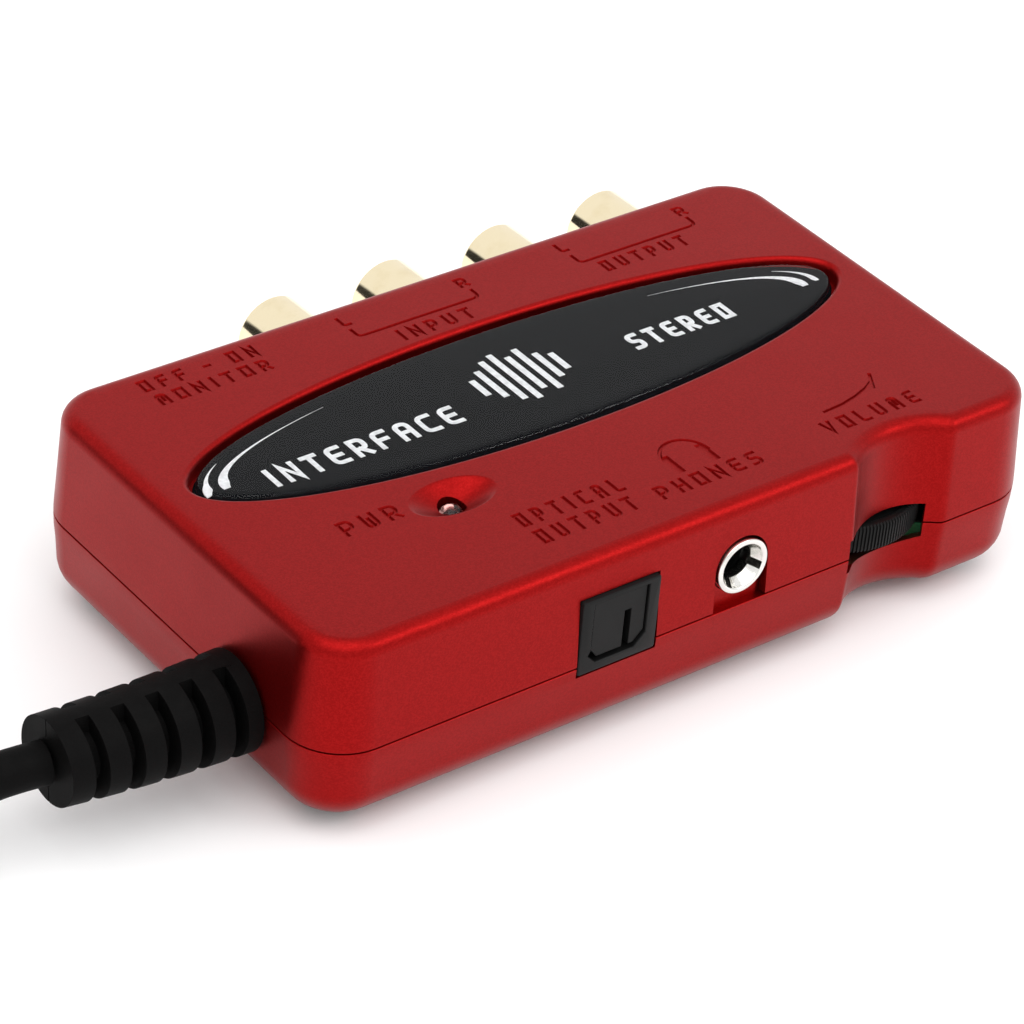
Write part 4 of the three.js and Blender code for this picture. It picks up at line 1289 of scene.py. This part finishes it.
def plug_shape():
    """The plug's moulded grip, metal sleeve and tongue, along +Z from the plug's origin."""
    levels = [(0, 2.5, 2.5), (0.25, 2.75, 2.8), (5.5, 3.0, 3.2), (6.6, 3.2, 4.6), (7.6, 3.55, 6.4),
        (8.6, 3.75, 7.3), (10, 3.8, 7.6),
              (24.6, 3.8, 7.8), (25.6, 3.7, 7.7), (26, 3.4, 7.3)]
    grip = loft([[(x, y, z) for x, y in rounded_rect(0, 0, thick, wide, min(2.3, thick - 0.05), 6)] for z,
        thick, wide in levels])
    ridges = []
    for i in range(5):
        z = 11.5 + i * 2.2
        for side in (-1, 1):
            ridges.append(moved(block(-5, 5, -0.8, 0.8, z, z + 1.1, 0.2, 0.3), 0, side * 8.2, 0))
    grip = combine(grip, ridges)
    low, high = 26.3, 38.3
    sleeve = combine(block(-2.25, 2.25, -6, 6, low, high, 0.06, 0.35), [
        block(-1.93, 1.93, -5.68, 5.68, low + 0.6, high + 2, 0.05, 0.2),
        plain_box(1, 3, -3.9, -1.6, low + 4.8, low + 7.3), plain_box(1, 3, 1.6, 3.9, low + 4.8, low + 7.3),
        plain_box(-3, -1, -3.9, -1.6, low + 4.8, low + 7.3),
        plain_box(-3, -1, 1.6, 3.9, low + 4.8, low + 7.3)])
    tongue = block(-1.6, 0.2, -5.35, 5.35, low + 0.9, high - 0.4, 0.15, 0.2)
    strips = merged(*[block(0.2, 0.32, y - 0.5, y + 0.5, low + 3.4 + (abs(y) < 2) * 1.0, high - 0.9, 0.04,
        0.06)
                      for y in (-3.5, -1.2, 1.2, 3.5)])
    return grip, sleeve, tongue, strips


class AUDIO_OT_lead(Operator):
    """Captive lead: down to the table, wound into a tied round coil, with its plug lying on the coil"""
    bl_idname = "audio_interface.lead"
    bl_label = "Lead and Plug"

    def execute(self, context):
        diameter = context.scene.audio_lead.diameter
        route = coil_route()
        curve = bpy.data.curves.new("lead_cable", "CURVE")
        curve.dimensions, curve.bevel_depth, curve.bevel_resolution = "3D", diameter / 2, 7
        curve.resolution_u, curve.use_fill_caps = 4, True
        spline = curve.splines.new("BEZIER")
        spline.bezier_points.add(len(route) - 1)
        for point, place in zip(spline.bezier_points, route):
            point.co = Vector(place) * MM
            point.handle_left_type = point.handle_right_type = "AUTO"
        curve.materials.append(finish("black_rubber"))
        lead = bpy.data.objects.new("lead_cable", curve)
        context.scene.collection.objects.link(lead)
        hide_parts("lead", "lead_coil", "lead_end")
        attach(lead, "case")

        grip, sleeve, tongue, strips = plug_shape()
        for name, shape, slot, nodes in (("plug_handle", grip, "black_rubber", ("plug_grip",)),
                                         ("plug_sleeve", sleeve, "nickel", ("plug_shell",)),
                                         ("plug_insert", tongue, "white_plastic", ("plug_tongue",)),
                                         ("plug_contacts", strips, "gold", ())):
            turned_over = [(PLUG_X + z, PLUG_Y + y, PLUG_Z - x) for x, y, z in shape[0]]
            make_piece(name, (turned_over, shape[1]), "case", slot, *nodes, sharp=40)

        low, high = node_box("coil_tie")
        cx, cy, cz = node_middle("coil_tie")
        half_x, half_z, thick = (high[0] - low[0]) / 2, (high[2] - low[2]) / 2, 1.2
        rings = []
        for inset, y in ((0.1, low[1]), (0, low[1] + 0.1), (0, high[1] - 0.1), (0.1, high[1])):
            rings.append([(x, z, y) for x, z in rounded_rect(cx, cz, half_x - inset, half_z - inset, 2.8,
                8)])
        for inset, y in ((thick - 0.1, high[1]), (thick, high[1] - 0.1), (thick, low[1] + 0.1),
                (thick - 0.1, low[1])):
            rings.append([(x, z, y) for x, z in rounded_rect(cx, cz, half_x - inset, half_z - inset,
                2.8 - inset, 8)])
        tie = turn_to(loft(rings, True), "y")
        grooves = [plain_box(high[0] - 0.2, high[0] + 1, y - 0.15, y + 0.15, 4.0, 12.0) for y in (cy - 1.5,
            cy - 0.75, cy, cy + 0.75, cy + 1.5)]
        make_piece("tie_band", combine(tie, grooves), "case", "black_plastic", "coil_tie")

        return {"FINISHED"}


# ---- Stage ----
def area_light(name, direction, distance, size, power, colour=(1, 1, 1)):
    """A square light that faces the middle of the case from a direction."""
    light = bpy.data.lights.new(name, "AREA")
    light.shape, light.size, light.energy, light.color = "SQUARE", size, power, colour
    lamp = bpy.data.objects.new(name, light)
    bpy.context.scene.collection.objects.link(lamp)
    lamp.location = Vector(direction).normalized() * distance
    lamp.rotation_euler = Vector(direction).to_track_quat("Z", "Y").to_euler()
    return lamp


class AUDIO_OT_stage(Operator):
    """Pale floor, soft studio lights and the camera"""
    bl_idname = "audio_interface.stage"
    bl_label = "Stage"

    def execute(self, context):
        scene = context.scene
        settings = scene.audio_stage
        camera = bpy.data.objects.new("camera", bpy.data.cameras.new("camera"))
        scene.collection.objects.link(camera)
        camera.data.lens, camera.data.sensor_width = settings.lens, 36
        azimuth, elevation, roll = (math.radians(a) for a in (-39.86, 34.82, 5.19))
        back = Vector((math.sin(azimuth) * math.cos(elevation), -math.cos(azimuth) * math.cos(elevation),
            math.sin(elevation)))
        level = Vector((math.cos(azimuth), math.sin(azimuth), 0))
        above = back.cross(level)
        right = level * math.cos(roll) + above * math.sin(roll)
        upward = above * math.cos(roll) - level * math.sin(roll)
        camera.matrix_world = Matrix.Translation((-0.21853, -0.26226, 0.24224)) @ Matrix((right, upward,
            back)).transposed().to_4x4()
        scene.camera = camera

        rim = [(3.2 * math.cos(a), 3.2 * math.sin(a)) for a in np.linspace(0, 2 * math.pi, 65)[:-1]]
        mesh = bpy.data.meshes.new("floor")
        mesh.from_pydata([(x, y, 0) for x, y in rim], [], [tuple(range(64))])
        floor = bpy.data.objects.new("floor", mesh)
        scene.collection.objects.link(floor)
        made, tree, shader, where = start_finish("floor_paper", Roughness=0.8, Specular_IOR_Level=0.2)
        skin = place_effect(tree, "Moulded grain", where, Scale=60.0, Smooth=0.78, Rough=0.85)
        tree.links.new(blend_colours(tree, skin.outputs["Shade"], rgba(settings.floor, 0.995),
            rgba(settings.floor, 1.0)),
                       shader.inputs["Base Color"])
        mesh.materials.append(made)

        world = bpy.data.worlds.new("studio")
        scene.world = world
        world.use_nodes = True
        sky = world.node_tree
        where = sky.nodes.new("ShaderNodeTexCoord").outputs["Generated"]
        dot = node(sky, "ShaderNodeVectorMath", operation="DOT_PRODUCT")
        dot.inputs[1].default_value = Vector((-0.745, 0.635, 0.14)).normalized()
        sky.links.new(where, dot.inputs[0])
        screened = spread(sky, dot.outputs["Value"], settings.surround, 0.03, 0.962, 0.978)
        sky.links.new(screened, sky.nodes["Background"].inputs["Strength"])
        sky.nodes["Background"].inputs["Color"].default_value = (1.0, 1.0, 1.0, 1)
        area_light("overhead", (-0.25, -0.30, 1.0), 1.4, 1.5, settings.key_power)
        area_light("front_right", (0.53, -0.60, 0.62), 1.3, 0.45, 2.4)
        scene.view_settings.view_transform = "Standard"
        return {"FINISHED"}


SETTINGS = {
    "audio_case": AudioCaseSettings, "audio_badge": AudioBadgeSettings,
    "audio_controls": AudioControlSettings,
    "audio_lead": AudioLeadSettings, "audio_stage": AudioStageSettings,
}
STEPS = (
    AUDIO_OT_stage, AUDIO_OT_lead, AUDIO_OT_upper_shell, AUDIO_OT_lower_shell, AUDIO_OT_badge,
    AUDIO_OT_status_lamp,
    AUDIO_OT_optical_output, AUDIO_OT_phones_socket, AUDIO_OT_volume_wheel, AUDIO_OT_monitor_switch,
    AUDIO_OT_phono_sockets, AUDIO_OT_circuit_board, AUDIO_OT_screws_and_feet, AUDIO_OT_strain_relief,
)


class AUDIO_PT_sidebar(Panel):
    """Lists the settings and the steps that build the audio interface"""
    bl_label = "Audio Interface"
    bl_idname = "AUDIO_PT_sidebar"
    bl_space_type = "VIEW_3D"
    bl_region_type = "UI"
    bl_category = "Audio Interface"

    def draw(self, context):
        for group, kind in SETTINGS.items():
            column = self.layout.column()
            column.label(text=kind.__doc__)
            for prop in kind.__annotations__:
                column.prop(getattr(context.scene, group), prop)
        for step in STEPS:
            self.layout.operator(step.bl_idname)


def register():
    for kind in (*SETTINGS.values(), *STEPS, AUDIO_PT_sidebar):
        bpy.utils.register_class(kind)
    for group, kind in SETTINGS.items():
        setattr(bpy.types.Scene, group, PointerProperty(type=kind))


def unregister():
    for group in SETTINGS:
        delattr(bpy.types.Scene, group)
    for kind in reversed((*SETTINGS.values(), *STEPS, AUDIO_PT_sidebar)):
        bpy.utils.unregister_class(kind)


def main():
    register()
    for step in STEPS:
        getattr(bpy.ops.audio_interface, step.bl_idname.split(".")[1])()


if __name__ == "__main__":
    main()
